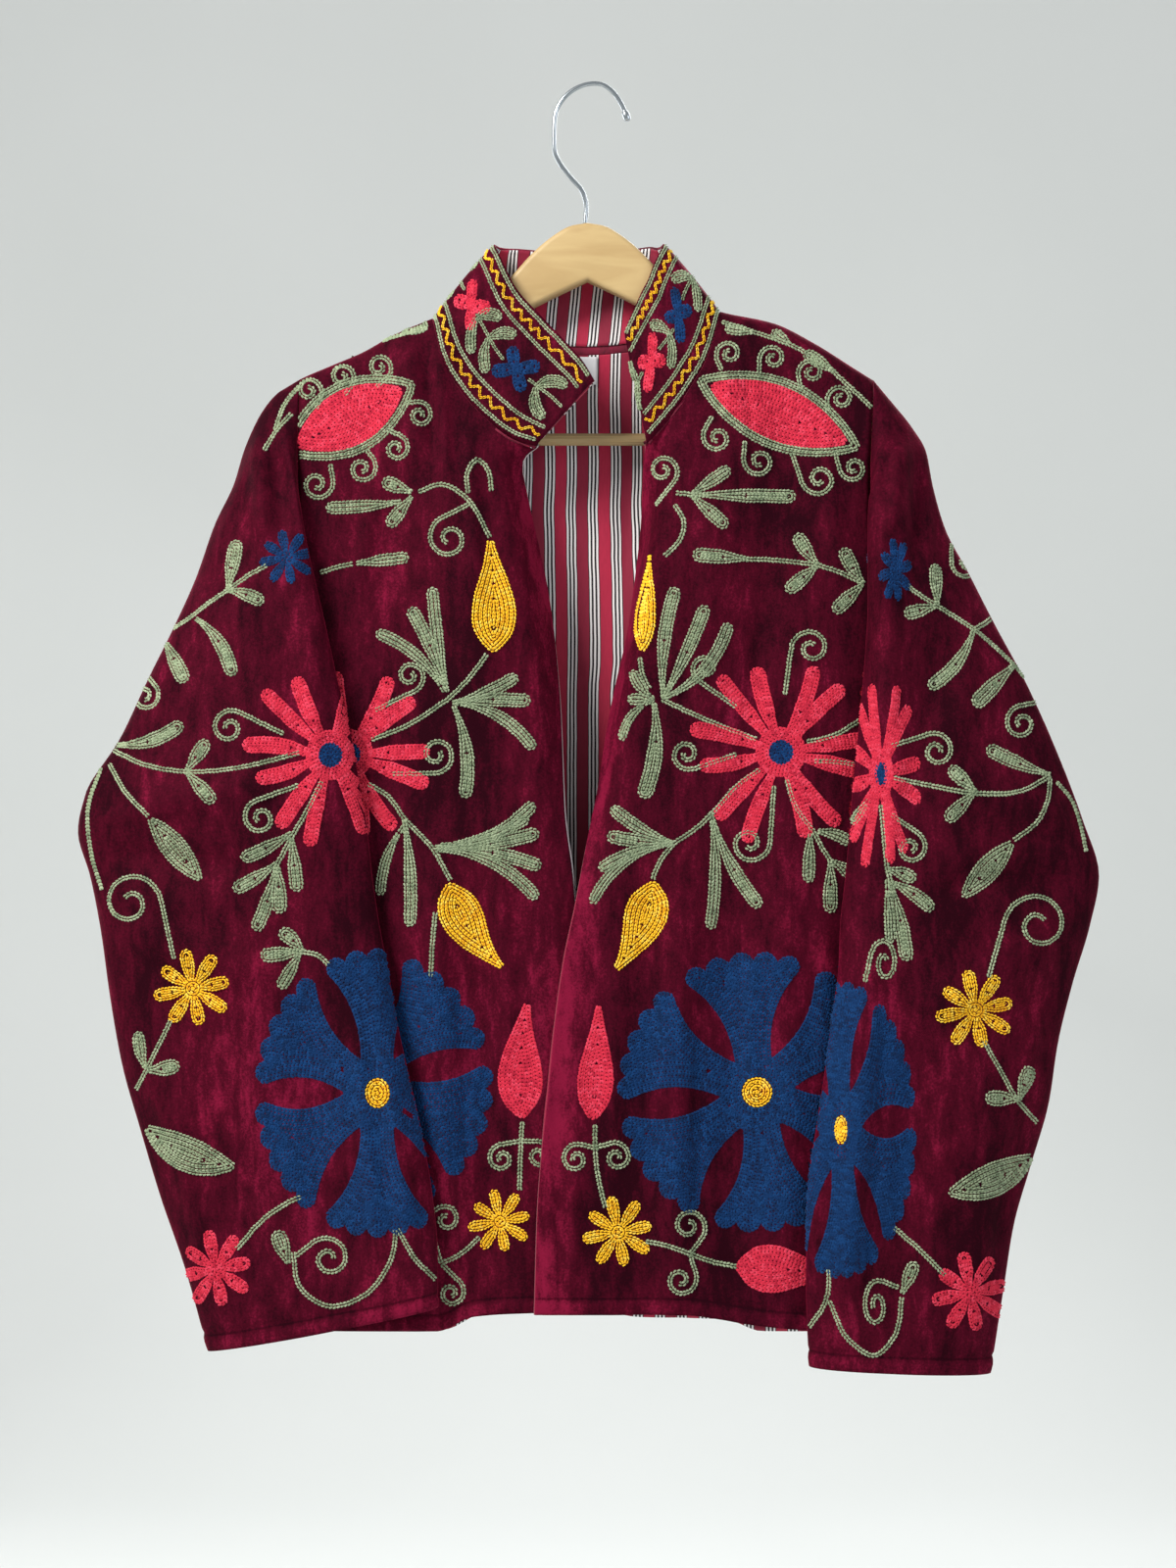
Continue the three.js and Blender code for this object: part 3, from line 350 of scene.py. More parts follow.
class Seam:
    """A seam line: its points by the fraction of its length."""

    def __init__(self, rows):
        steps = np.hypot(np.diff(rows["x"]), np.diff(rows["z"]))
        run = np.concatenate([[0], np.cumsum(steps)]) / steps.sum()
        self.length = steps.sum()
        self.side = -1 if rows["x"][0] < 0 else 1
        self.x, self.z = Curve(run, rows["x"]), Curve(run, rows["z"])

    def at(self, f):
        f = np.clip(f, 0, 1)
        return self.x(f), self.z(f)

    def way(self, f):
        """The way out from the body, across the seam."""
        x0, z0 = self.at(f - 0.02)
        x1, z1 = self.at(f + 0.02)
        long = np.hypot(x1 - x0, z1 - z0)
        return -self.side * (z1 - z0) / long, self.side * (x1 - x0) / long


ARMHOLES = {-1: Seam(ARMHOLE_RIGHT), 1: Seam(ARMHOLE_LEFT)}
ARMHOLE_EDGE = {
    -1: Curve(ARMHOLE_RIGHT["z"], ARMHOLE_RIGHT["x"]),
    1: Curve(ARMHOLE_LEFT["z"], ARMHOLE_LEFT["x"]),
}
NECKS = {-1: Seam(NECK_RIGHT), 0: Seam(NECK_BACK), 1: Seam(NECK_LEFT)}
EDGES = {-1: EDGE_RIGHT, 1: EDGE_LEFT}
FRONT_HEMS = {-1: Curve(HEM_RIGHT["x"], HEM_RIGHT["z"]), 1: Curve(HEM_LEFT["x"], HEM_LEFT["z"])}
BACK_HEM = Curve(HEM_BACK["x"], HEM_BACK["z"])
SHOULDER_LINE = Curve(SHOULDER["x"], SHOULDER["z"])
SIDE_HEM_X = {-1: -246, 1: 242}


def fold_height(folds, x, z):
    """How far the folds of a table lift or sink the cloth."""
    total = np.zeros(np.broadcast(x, z).shape)
    for x0, z0, x1, z1, width, height in zip(*(folds[key] for key in FOLD_COLUMNS)):
        dx, dz = x1 - x0, z1 - z0
        long = math.hypot(dx, dz)
        f = ((x - x0) * dx + (z - z0) * dz) / long**2
        off = ((x - x0) * dz - (z - z0) * dx) / long
        ends = smooth(-0.12, 0.22, f) * (1 - smooth(0.78, 1.12, f))
        total += height * ends * np.exp(-((off / width) ** 2))
    return total


def side_fade(x, z):
    half = HALF_WIDTH + 0.35 * np.maximum(0, z - UNDERARM_Z)
    return 1 - np.clip(np.abs(x - CENTRE_X) / half, 0, 1) ** SIDE_POWER


def layer_depth(x, z, fill, folds, creases):
    """How far one layer of the body stands out from the hanging plane."""
    q = np.maximum(0, SHOULDER_LINE(x) - z)
    top = SHOULDER_ROUND * np.sqrt(1 - (1 - np.minimum(q / 10, 1)) ** 2)
    belly = fill["belly"] * np.exp(-(((x - CENTRE_X) / 120) ** 2)) * (1 - np.exp(-q / 120))
    full = top + fill["depth"] * (1 - np.exp(-q / fill["length"])) + belly
    return (full + fold_height(folds, x, z) + 1.5 * fold_height(creases, x, z)) * side_fade(x, z)


def front_y(x, z):
    return -layer_depth(x, z, FRONT_FILL, FRONT_FOLDS, FRONT_CREASES)


def back_y(x, z):
    return layer_depth(x, z, BACK_FILL, BACK_FOLDS, BACK_CREASES)


def side_x(x, z):
    """The body's side edge at a height."""
    edge = np.where(x < CENTRE_X, ARMHOLE_EDGE[-1](z), ARMHOLE_EDGE[1](z))
    low = np.where(x < CENTRE_X, ARMHOLE_RIGHT["x"][-1], ARMHOLE_LEFT["x"][-1])
    return np.where(z < UNDERARM_Z, low, edge)


def side_edge(side, hem, t):
    """The side edge of a panel: the armhole, then the side seam."""
    x, z = ARMHOLES[side].at(t / UNDERARM_T)
    x1, z1 = ARMHOLES[side].at(1.0)
    f = np.clip((t - UNDERARM_T) / (1 - UNDERARM_T), 0, 1)
    low = t > UNDERARM_T
    return np.where(low, mix(x1, hem[0], f), x), np.where(low, mix(z1, hem[1], f), z)


def coons(top, hem, first, last, s, t):
    """Points of a panel between its four edges, as x and z grids."""
    a, b, c, d = top(np.zeros(1)), top(np.ones(1)), hem(np.zeros(1)), hem(np.ones(1))
    p, q, l, r = top(s), hem(s), first(t), last(t)
    u, v = s[None, :], t[:, None]
    return [
        (1 - v) * p[i][None, :] + v * q[i][None, :] + (1 - u) * l[i][:, None] + u * r[i][:, None]
        - (1 - u) * (1 - v) * a[i] - u * (1 - v) * b[i] - (1 - u) * v * c[i] - u * v * d[i]
        for i in (0, 1)
    ]


def counted(n):
    return max(6, int(n * FINE))


def eased(n):
    """Fractions from 0 to 1, closer at both ends."""
    return 0.5 - 0.5 * np.cos(np.pi * np.linspace(0, 1, counted(n)))


def body_rows():
    """Where a body panel takes its rows: closer at the shoulder and at the hem."""
    top = 0.018 * np.linspace(0, 1, counted(10)) ** 2
    middle = np.linspace(0.018, 0.95, counted(92))
    low = np.linspace(0.95, 1, counted(15))
    return np.concatenate([top, middle[1:], low[1:]])


def bump_at(v, place, width):
    return np.exp(-(((v - place) / width) ** 2))


def hem_ridges(norm, grid, above, sink):
    """Sinks the line of stitches above a hem and lets the turned cloth below it swell a little."""
    line = -sink * bump_at(above, 10.5, 1.6) + 0.6 * bump_at(above, 5, 3.8)
    return grid - norm * line[:, None, None]


def normals(grid, towards, ring=False):
    """Unit normals of a grid, turned so that the middle one faces a given way."""
    if ring:
        du = np.roll(grid, -1, 1) - np.roll(grid, 1, 1)
    else:
        du = np.gradient(grid, axis=1)
    n = np.cross(du, np.gradient(grid, axis=0))
    n /= np.maximum(np.linalg.norm(n, axis=2, keepdims=True), 1e-9)
    middle = n[n.shape[0] // 2, n.shape[1] // 2]
    return n if middle @ np.array(towards, float) > 0 else -n


def front_grid(side):
    """One front's outer points: from the side to the ridge, then across the turned strip."""
    neck, edge, hem = NECKS[side], EDGES[side], FRONT_HEMS[side]
    neck_at_ridge = 0.74 if side < 0 else 0.62
    shoulder_share = 0.45 if side < 0 else 0.5
    ax, _ = ARMHOLES[side].at(0.0)
    nx, _ = neck.at(0.0)
    ridge_line, edge_line = Curve(edge["z"], edge["ridge"]), Curve(edge["z"], edge["edge"])
    turn_line = Curve(edge["z"], edge["turn"])
    last = {key: edge[key][-1] for key in ("edge", "ridge")}
    ridge_top, edge_top = neck.at(neck_at_ridge), neck.at(1.0)
    ridge_hem = last["ridge"], hem(last["ridge"])

    def top(s):
        x = mix(ax, nx, s / shoulder_share)
        qx, qz = neck.at(neck_at_ridge * (s - shoulder_share) / (1 - shoulder_share))
        over = s <= shoulder_share
        return np.where(over, x, qx), np.where(over, SHOULDER_LINE(x), qz)

    def low(s):
        x = mix(SIDE_HEM_X[side], ridge_hem[0], s)
        return x, hem(x)

    def ridge(t):
        z = mix(ridge_top[1], ridge_hem[1], t)
        return mix(ridge_top[0], ridge_line(z), smooth(0, 0.03, t)), z

    def lift(x, z):
        below = smooth(-470, -520, z)
        if side < 0:
            return 1.5 * below * smooth(-75, -40, x)
        return -3.2 * below * smooth(42, 12, x)

    side_hem = SIDE_HEM_X[side], hem(SIDE_HEM_X[side])
    t = body_rows()
    s = np.concatenate([np.linspace(0, shoulder_share, counted(32)),
                        np.linspace(shoulder_share, 1, counted(38))[1:]])
    x, z = coons(top, low, lambda v: side_edge(side, side_hem, v), ridge, s, t)
    flat = np.stack([x, front_y(x, z) + lift(x, z), z], axis=2)

    g, v = np.meshgrid(np.linspace(0, 1, counted(24))[1:], t)
    rx, _ = ridge(v)
    z_top = mix(ridge_top[1], edge_top[1], g)
    z_hem = mix(ridge_hem[1], hem(last["edge"]), g)
    z = mix(z_top, z_hem, v)
    degrees = turn_line(z)
    turn = np.radians(degrees) + 0.0001
    xe = mix(edge_top[0], edge_line(z), smooth(0, 0.012, v))

    def bend(f):
        half = np.minimum(f, 0.5)
        rest = np.maximum(0, f - 0.5)
        ramp = turn * half / 0.5
        return (0.5 * np.sin(ramp) / turn + rest * np.cos(turn),
                0.5 * (1 - np.cos(ramp)) / turn + rest * np.sin(turn))

    whole, _ = bend(np.ones_like(g))
    cx, cy = bend(g)
    reach = np.abs(xe - rx) / whole
    x = mix(rx, xe, cx / whole)
    qx, qz = neck.at(mix(neck_at_ridge, 1, g))
    near = np.clip(v / 0.02, 0, 1)
    x = mix(qx, x, near)
    zz = mix(qz, z, near)
    y0 = front_y(rx, z) + lift(mix(rx, xe, g), zz)
    y = mix(y0, front_y(x, zz) + lift(x, zz), smooth(0.6, 0, degrees / 20)) + reach * cy
    grid = np.concatenate([flat, np.stack([x, y, zz], axis=2)], axis=1)
    grid[:2, :, 1] = np.minimum(grid[:2, :, 1], -SEAM / 2)
    near_side = np.abs(grid[..., 0] - CENTRE_X) > HALF_WIDTH - SIDE_STRIP
    grid[..., 1] = np.where(near_side, np.minimum(grid[..., 1], -SEAM / 2), grid[..., 1])
    return hem_ridges(normals(grid, (0, 1, 0)), grid, (1 - t) * PANEL_LENGTH, 0.8)


BACK_SHARES = (0.3, 0.7)


def back_grid():
    """The back's outer points, from the viewer's left to the right."""
    al, _ = ARMHOLES[-1].at(0.0)
    ar, _ = ARMHOLES[1].at(0.0)
    nl, _ = NECKS[0].at(0.0)
    nr, _ = NECKS[0].at(1.0)
    first, last = BACK_SHARES

    def top(s):
        xl = mix(al, nl, s / first)
        xr = mix(nr, ar, (s - last) / (1 - last))
        qx, qz = NECKS[0].at((s - first) / (last - first))
        x = np.where(s < first, xl, np.where(s > last, xr, qx))
        z = np.where(s < first, SHOULDER_LINE(xl), np.where(s > last, SHOULDER_LINE(xr), qz))
        return x, z

    def low(s):
        x = mix(SIDE_HEM_X[-1], SIDE_HEM_X[1], s)
        return x, BACK_HEM(x)

    t = body_rows()
    s = np.concatenate([np.linspace(0, first, counted(28)), np.linspace(first, last, counted(42))[1:],
                        np.linspace(last, 1, counted(28))[1:]])
    x, z = coons(top, low, lambda v: side_edge(-1, (SIDE_HEM_X[-1], BACK_HEM(SIDE_HEM_X[-1])), v),
                 lambda v: side_edge(1, (SIDE_HEM_X[1], BACK_HEM(SIDE_HEM_X[1])), v), s, t)
    grid = np.stack([x, back_y(x, z), z], axis=2)
    near_side = np.abs(x - CENTRE_X) > HALF_WIDTH - SIDE_STRIP
    grid[..., 1] = np.where(near_side, np.maximum(grid[..., 1], SEAM / 2), grid[..., 1])
    return hem_ridges(normals(grid, (0, -1, 0)), grid, (1 - t) * PANEL_LENGTH, 0.8)


def collar_ways(rows, f):
    """The collar's ways up from its seam, at fractions of one of its runs."""
    return np.stack([Curve(rows["at"], rows[key])(f) for key in ("dx", "dy", "dz")], axis=-1)


def collar_grid():
    """The collar's outer points, once round from the viewer's left front edge, rows going up."""
    parts = []
    for side, rows, count in ((-1, COLLAR_RIGHT, 52), (0, COLLAR_BACK, 62), (1, COLLAR_LEFT, 46)):
        f = np.linspace(0, 1, counted(count))
        x, z = NECKS[side].at(f)
        depth = back_y(x, z) if side == 0 else front_y(x, z)
        base = np.stack([x, depth, z], axis=-1)
        ways = collar_ways(rows, f)
        if side == -1:
            base, ways = base[:0:-1], ways[:0:-1]
        if side == 1:
            base, ways = base[1:], ways[1:]
        parts.append((base, ways))
    base = np.concatenate([p[0] for p in parts])
    ways = np.concatenate([p[1] for p in parts])
    for _ in range(3):
        ways[1:-1] = (ways[:-2] + 2 * ways[1:-1] + ways[2:]) / 4
    long = np.linalg.norm(ways, axis=1, keepdims=True)
    ends = np.minimum(np.arange(len(base)), np.arange(len(base))[::-1])[:, None] / FINE
    foot = base + ways / long * (SEAM + FRONT_NECK_GAP * smooth(30, 0, ends))
    up = np.linspace(0, 1, counted(26))[:, None, None]
    grid = foot[None] + ways[None] * up
    from_seam, from_top = up * COLLAR_HEIGHT, (1 - up) * COLLAR_HEIGHT
    puff = 0.9 * np.sin(np.pi * up) - 0.7 * bump_at(from_seam, 0, 2.2) - 0.5 * bump_at(from_top, 0, 2)
    return grid - normals(grid, (0, -1, 0)) * puff


SLEEVES = {-1: SLEEVE_RIGHT, 1: SLEEVE_LEFT}
# How far along the armhole the sleeve's hidden layer starts
HIDDEN_FROM = 1 / 3
# How boxy a sleeve's section is between its folds
SECTION_POWER = 0.42


def sleeve_section(side, k):
    """One closed section of a sleeve at a place k in its table."""
    rows = SLEEVES[side]
    places = np.arange(len(rows["ox"]))
    at = {key: float(Curve(places, rows[key])(k)) for key in SLEEVE_COLUMNS}
    first = {key: rows[key][0] for key in SLEEVE_COLUMNS}
    straight = float(np.interp(k, [0, 1, 2, 3, 4, 5], [0, 0, 0.15, 0.4, 0.7, 1]))
    armhole = ARMHOLES[side]

    def cap(x, z):
        over = (x - side_x(x, z)) * side
        return np.where(over <= 0, front_y(x, z) - SLEEVE_CLEARANCE, 0.6 * over - SLEEVE_CLEARANCE)

    iy = float(front_y(np.array(at["ix"]), np.array(at["iz"]))) - SLEEVE_CLEARANCE - min(4.5, 1.5 + 1.5 * k)
    f = eased(46)
    x, z = mix(at["ox"], at["ix"], f), mix(at["oz"], at["iz"], f)
    folds = fold_height(SLEEVE_FOLDS, x, z) + 1.5 * fold_height(SLEEVE_CREASES, x, z)
    folds = folds * smooth(0, 0.12, f) * smooth(1, 0.9, f)
    bulge = at["front"] * (4 * f * (1 - f)) ** SECTION_POWER
    over = np.stack([x, mix(at["oy"], iy, f) - bulge - folds, z], axis=1)

    g = np.linspace(0, 1, counted(14))[1:]
    jx, jz = armhole.at(mix(HIDDEN_FROM, 1, g))
    bx = jx + mix(at["ix"] - first["ix"], at["ux"] - first["ux"], g)
    bz = jz + mix(at["iz"] - first["iz"], at["uz"] - first["uz"], g)
    x = mix(bx, mix(at["ix"], at["ux"], g), straight)
    z = mix(bz, mix(at["iz"], at["uz"], g), straight)
    hidden = np.stack([x, mix(iy, cap(x, z), np.sqrt(np.minimum(1, g / 0.25))), z], axis=1)

    uy = float(cap(np.array(at["ux"]), np.array(at["uz"])))
    b = eased(34)[1:-1]
    jx, jz = armhole.at(1 - b)
    wx, wz = armhole.way(1 - b)
    out = 3 * (1 - smooth(0.2, 0.7, b))
    bx = jx + mix(at["ux"] - first["ux"], at["ox"] - first["ox"], b) + wx * out
    bz = jz + mix(at["uz"] - first["uz"], at["oz"] - first["oz"], b) + wz * out
    x = mix(bx, mix(at["ux"], at["ox"], b), straight)
    z = mix(bz, mix(at["uz"], at["oz"], b), straight)
    free = mix(uy, at["oy"], b) + at["back"] * (4 * b * (1 - b)) ** SECTION_POWER
    free = free + 0.55 * fold_height(SLEEVE_CREASES, x, z) + 0.3 * fold_height(SLEEVE_FOLDS, x, z)
    y = np.where(z < UNDERARM_Z, np.minimum(free, cap(x, z)), free)
    return np.concatenate([over, hidden, np.stack([x, y, z], axis=1)])


def sleeve_head(side):
    """The sleeve's first section, sewn to the armhole."""
    armhole = ARMHOLES[side]
    f = eased(46)
    g = np.linspace(0, 1, counted(14))[1:]
    b = eased(34)[1:-1]
    at = np.concatenate([f / 3, mix(HIDDEN_FROM, 1, g), 1 - b])
    x, z = armhole.at(at)
    wx, wz = armhole.way(at)
    front = np.arange(len(at)) < len(f) + len(g)
    y = np.where(front, front_y(x, z) - 0.6, back_y(x, z))
    return np.stack([x + wx * SEAM, y, z + wz * SEAM], axis=1)


def sleeve_grid(side):
    """A sleeve's outer points: a closed section per row, from the armhole to the cuff."""
    last = len(SLEEVES[side]["ox"]) - 1
    ks = np.concatenate([np.linspace(1, last - 1, counted(96)), np.linspace(last - 1, last, counted(20))[1:]])
    head, first = sleeve_head(side), sleeve_section(side, 1.0)
    grid = [mix(head, first, f) for f in np.linspace(0, 1, counted(8))[:-1]]
    grid += [sleeve_section(side, float(k)) for k in ks]
    grid = np.array(grid)
    norm = sleeve_normals(grid)
    run = np.linalg.norm(grid[1:] - grid[:-1], axis=2).mean(axis=1)
    above = np.concatenate([np.cumsum(run[::-1])[::-1], [0]])
    return hem_ridges(norm, grid, above, 0.9)


def sleeve_normals(grid):
    """Inward normals of a sleeve."""
    n = normals(grid, (0, 1, 0), ring=True)
    row = grid.shape[0] // 2
    centre = grid[row].mean(axis=0)
    inward = np.einsum("jk,jk->j", n[row], centre - grid[row]).sum()
    return n if inward > 0 else -n


# Motifs of the embroidery
GREEN, RED, YELLOW, BLUE = "green", "red", "yellow", "blue"


def spots(points):
    return np.array(points, float)


def rounded(points, count=60):
    """A smooth run through a few points."""
    p = spots(points)
    if len(p) == 2:
        return p[0] + (p[1] - p[0]) * np.linspace(0, 1, count)[:, None]
    run = np.concatenate([[0], np.cumsum(np.linalg.norm(np.diff(p, axis=0), axis=1))])
    tangents = np.gradient(p, run, axis=0)
    at = np.linspace(0, run[-1], count)
    i = np.clip(np.searchsorted(run, at, side="right") - 1, 0, len(p) - 2)
    h = (run[i + 1] - run[i])[:, None]
    f = (at - run[i])[:, None] / h
    g = 1 - f
    return ((1 + 2 * f) * g * g * p[i] + f * g * g * h * tangents[i]
            + f * f * (3 - 2 * f) * p[i + 1] - f * f * g * h * tangents[i + 1])


def round_tipped(foot, swell, full_at):
    """A shape that widens from its foot and ends round: its width by the fraction of its length."""
    def shape(s, long, wide):
        end = 1 - min(0.45, wide / 2 / long)
        tip = np.sqrt(np.clip(1 - ((s - end) / (1 - end)) ** 2, 0, 1))
        return (foot + swell * smooth(0, full_at, s)) * np.where(s > end, tip, 1)
    return shape


def lens_shape(s, long, wide):
    return np.sin(np.pi * np.clip(s, 0, 1)) ** 0.75


def bud_shape(s, long, wide):
    return 0.13 * smooth(0, 0.04, s) * (1 - smooth(0.8, 1, s)) + 0.87 * np.sin(np.pi * s**1.75) ** 0.8


SHAPES = {
    "finger": round_tipped(0.34, 0.66, 0.6),
    "petal": round_tipped(0.5, 0.5, 0.45),
    "lens": lens_shape,
    "bud": bud_shape,
}


def rows_along(base, tip, wide, shape, spacing, bow=0.0):
    """Rows of stitches that fill a leaf, petal or bud, each a loop inside the last."""
    a, b = spots(base), spots(tip)
    way = b - a
    long = float(np.hypot(*way))
    across = np.array([-way[1], way[0]])
    s = np.linspace(0, 1, max(14, int(long / 1.2)))
    centre = a + way * s[:, None] + across * (bow * 4 * s * (1 - s))[:, None]
    tangent = np.gradient(centre, axis=0)
    tangent /= np.linalg.norm(tangent, axis=1, keepdims=True)
    side = np.stack([-tangent[:, 1], tangent[:, 0]], axis=1)
    half = wide / 2 * SHAPES[shape](s, long, wide)
    rows = []
    depth = spacing / 2
    while depth < half.max():
        inside = np.flatnonzero(half > depth)
        c, n, w = centre[inside], side[inside], (half[inside] - depth)[:, None]
        rows.append(np.concatenate([c + n * w, (c - n * w)[::-1]]))
        depth += spacing
    left = np.where(half > spacing / 2, (half - spacing / 2) % spacing, half * 1.6)
    hollow = np.flatnonzero(left > 0.52 * spacing)
    for part in np.split(hollow, np.flatnonzero(np.diff(hollow) > 1) + 1):
        if len(part) > 2:
            rows.append(centre[part])
    return rows


def ring_rows(centre, inner, outer, spacing, squeeze=1.0):
    """Round rows between two radii."""
    rows = []
    count = max(1, round((outer - inner) / spacing))
    for i in range(count):
        r = inner + (outer - inner) * (i + 0.5) / count
        angle = np.linspace(0, 2 * math.pi, max(10, int(2 * math.pi * r / 1.3)))
        rows.append(spots(centre) + np.stack([squeeze * r * np.cos(angle), r * np.sin(angle)], axis=1))
    return rows


def curl_row(start, centre, radius, sense, squeeze=1.0, turns=1.35):
    """A stem that runs onto a spiral round a centre. Sense is 1 anticlockwise, -1 clockwise."""
    c = spots(centre)
    a = (spots(start) - c) / (squeeze, 1)
    far = max(float(np.hypot(*a)), radius * 1.02)
    first = math.atan2(a[1], a[0]) + sense * math.acos(radius / far)
    f = np.linspace(0, 1, 70)[:, None]
    angle = first + sense * 2 * math.pi * turns * f
    r = radius * (1 - 0.78 * f**0.85)
    spiral = np.concatenate([r * np.cos(angle), r * np.sin(angle)], axis=1)
    lead = a + (spiral[0] - a) * np.linspace(0, 1, 12)[:-1, None]
    return c + np.concatenate([lead, spiral]) * (squeeze, 1)


def level_lines(values, xs, zs, level):
    """Closed lines where a grid of values crosses a level."""
    high = values > level
    links = {}

    def cross(a, b):
        f = (level - values[a]) / (values[b] - values[a])
        return (xs[a[1]] + (xs[b[1]] - xs[a[1]]) * f, zs[a[0]] + (zs[b[0]] - zs[a[0]]) * f)

    cells = np.argwhere((high[:-1, :-1] + high[1:, :-1] * 2 + high[:-1, 1:] * 4 + high[1:, 1:] * 8) % 15)
    places = {}
    for i, j in cells:
        corners = [(i, j), (i, j + 1), (i + 1, j + 1), (i + 1, j)]
        hits = []
        for n in range(4):
            a, b = sorted((corners[n], corners[(n + 1) % 4]))
            if high[a] != high[b]:
                places[(a, b)] = cross(a, b)
                hits.append((a, b))
        for n in range(0, len(hits) - 1, 2):
            links.setdefault(hits[n], []).append(hits[n + 1])
            links.setdefault(hits[n + 1], []).append(hits[n])
    lines = []
    while links:
        start = next(iter(links))
        line, at = [start], start
        while links.get(at):
            following = links[at].pop()
            if following in links and at in links[following]:
                links[following].remove(at)
            line.append(following)
            at = following
        for key in line:
            if not links.get(key):
                links.pop(key, None)
        if len(line) > 8:
            lines.append(np.array([places[key] for key in line]))
    return lines


BLOOM = {"lobes": 6, "bumps": 5, "gap_from": 0.24, "gap_half": 0.122}


def bloom_rows(centre, radius, turn, spacing, squeeze, hole):
    """Rows that follow the outline of a flower of scalloped fans parted by narrow gaps."""
    step = 1.4
    reach = radius * 1.12
    xs = zs = np.arange(-reach, reach + step, step)
    x, z = np.meshgrid(xs, zs)
    r, angle = np.hypot(x, z), np.arctan2(z, x) - math.radians(turn)
    pitch = 2 * math.pi / BLOOM["lobes"]
    from_gap = (angle + pitch / 2) % pitch - pitch / 2
    from_lobe = angle % pitch - pitch / 2
    bumps = np.abs(np.cos(from_lobe / pitch * math.pi * (BLOOM["bumps"] + 0.6)))
    edge = radius * (0.88 + 0.105 * np.sqrt(bumps) - 0.05 * smooth(0.36, 0.5, np.abs(from_lobe) / pitch))
    run = (r * np.cos(from_gap) - BLOOM["gap_from"] * radius) / (0.8 * radius)
    gap = BLOOM["gap_half"] * radius * np.sin(np.pi * np.clip(run, 0, 1)) ** 0.8 - 0.01 * radius
    clear = np.abs(r * np.sin(from_gap)) - np.where(run > 0, gap, run * radius)
    inside = np.minimum(np.minimum(edge - r, clear), r - hole)
    rows = []
    depth = spacing / 2
    while depth < inside.max():
        for line in level_lines(inside, xs, zs, depth):
            rows.append(spots(centre) + line * (squeeze, 1))
        depth += spacing
    steep_z, steep_x = np.gradient(inside, step)
    hollow = (inside - spacing / 2) % spacing > 0.5 * spacing
    ridge = (np.hypot(steep_x, steep_z) < 0.8) & hollow & (inside > 0)
    taken = []
    for i, j in np.argwhere(ridge):
        place = np.array([xs[j], zs[i]])
        if all(np.hypot(*(place - other)) > 0.9 * spacing for other in taken[-60:]):
            taken.append(place)
            way = np.array([math.cos(5.1 * len(taken)), math.sin(5.1 * len(taken))]) * spacing * 0.9
            ends = [place - way, place, place + way]
            rows.append(spots(centre) + np.array(ends) * (squeeze, 1))
    return rows


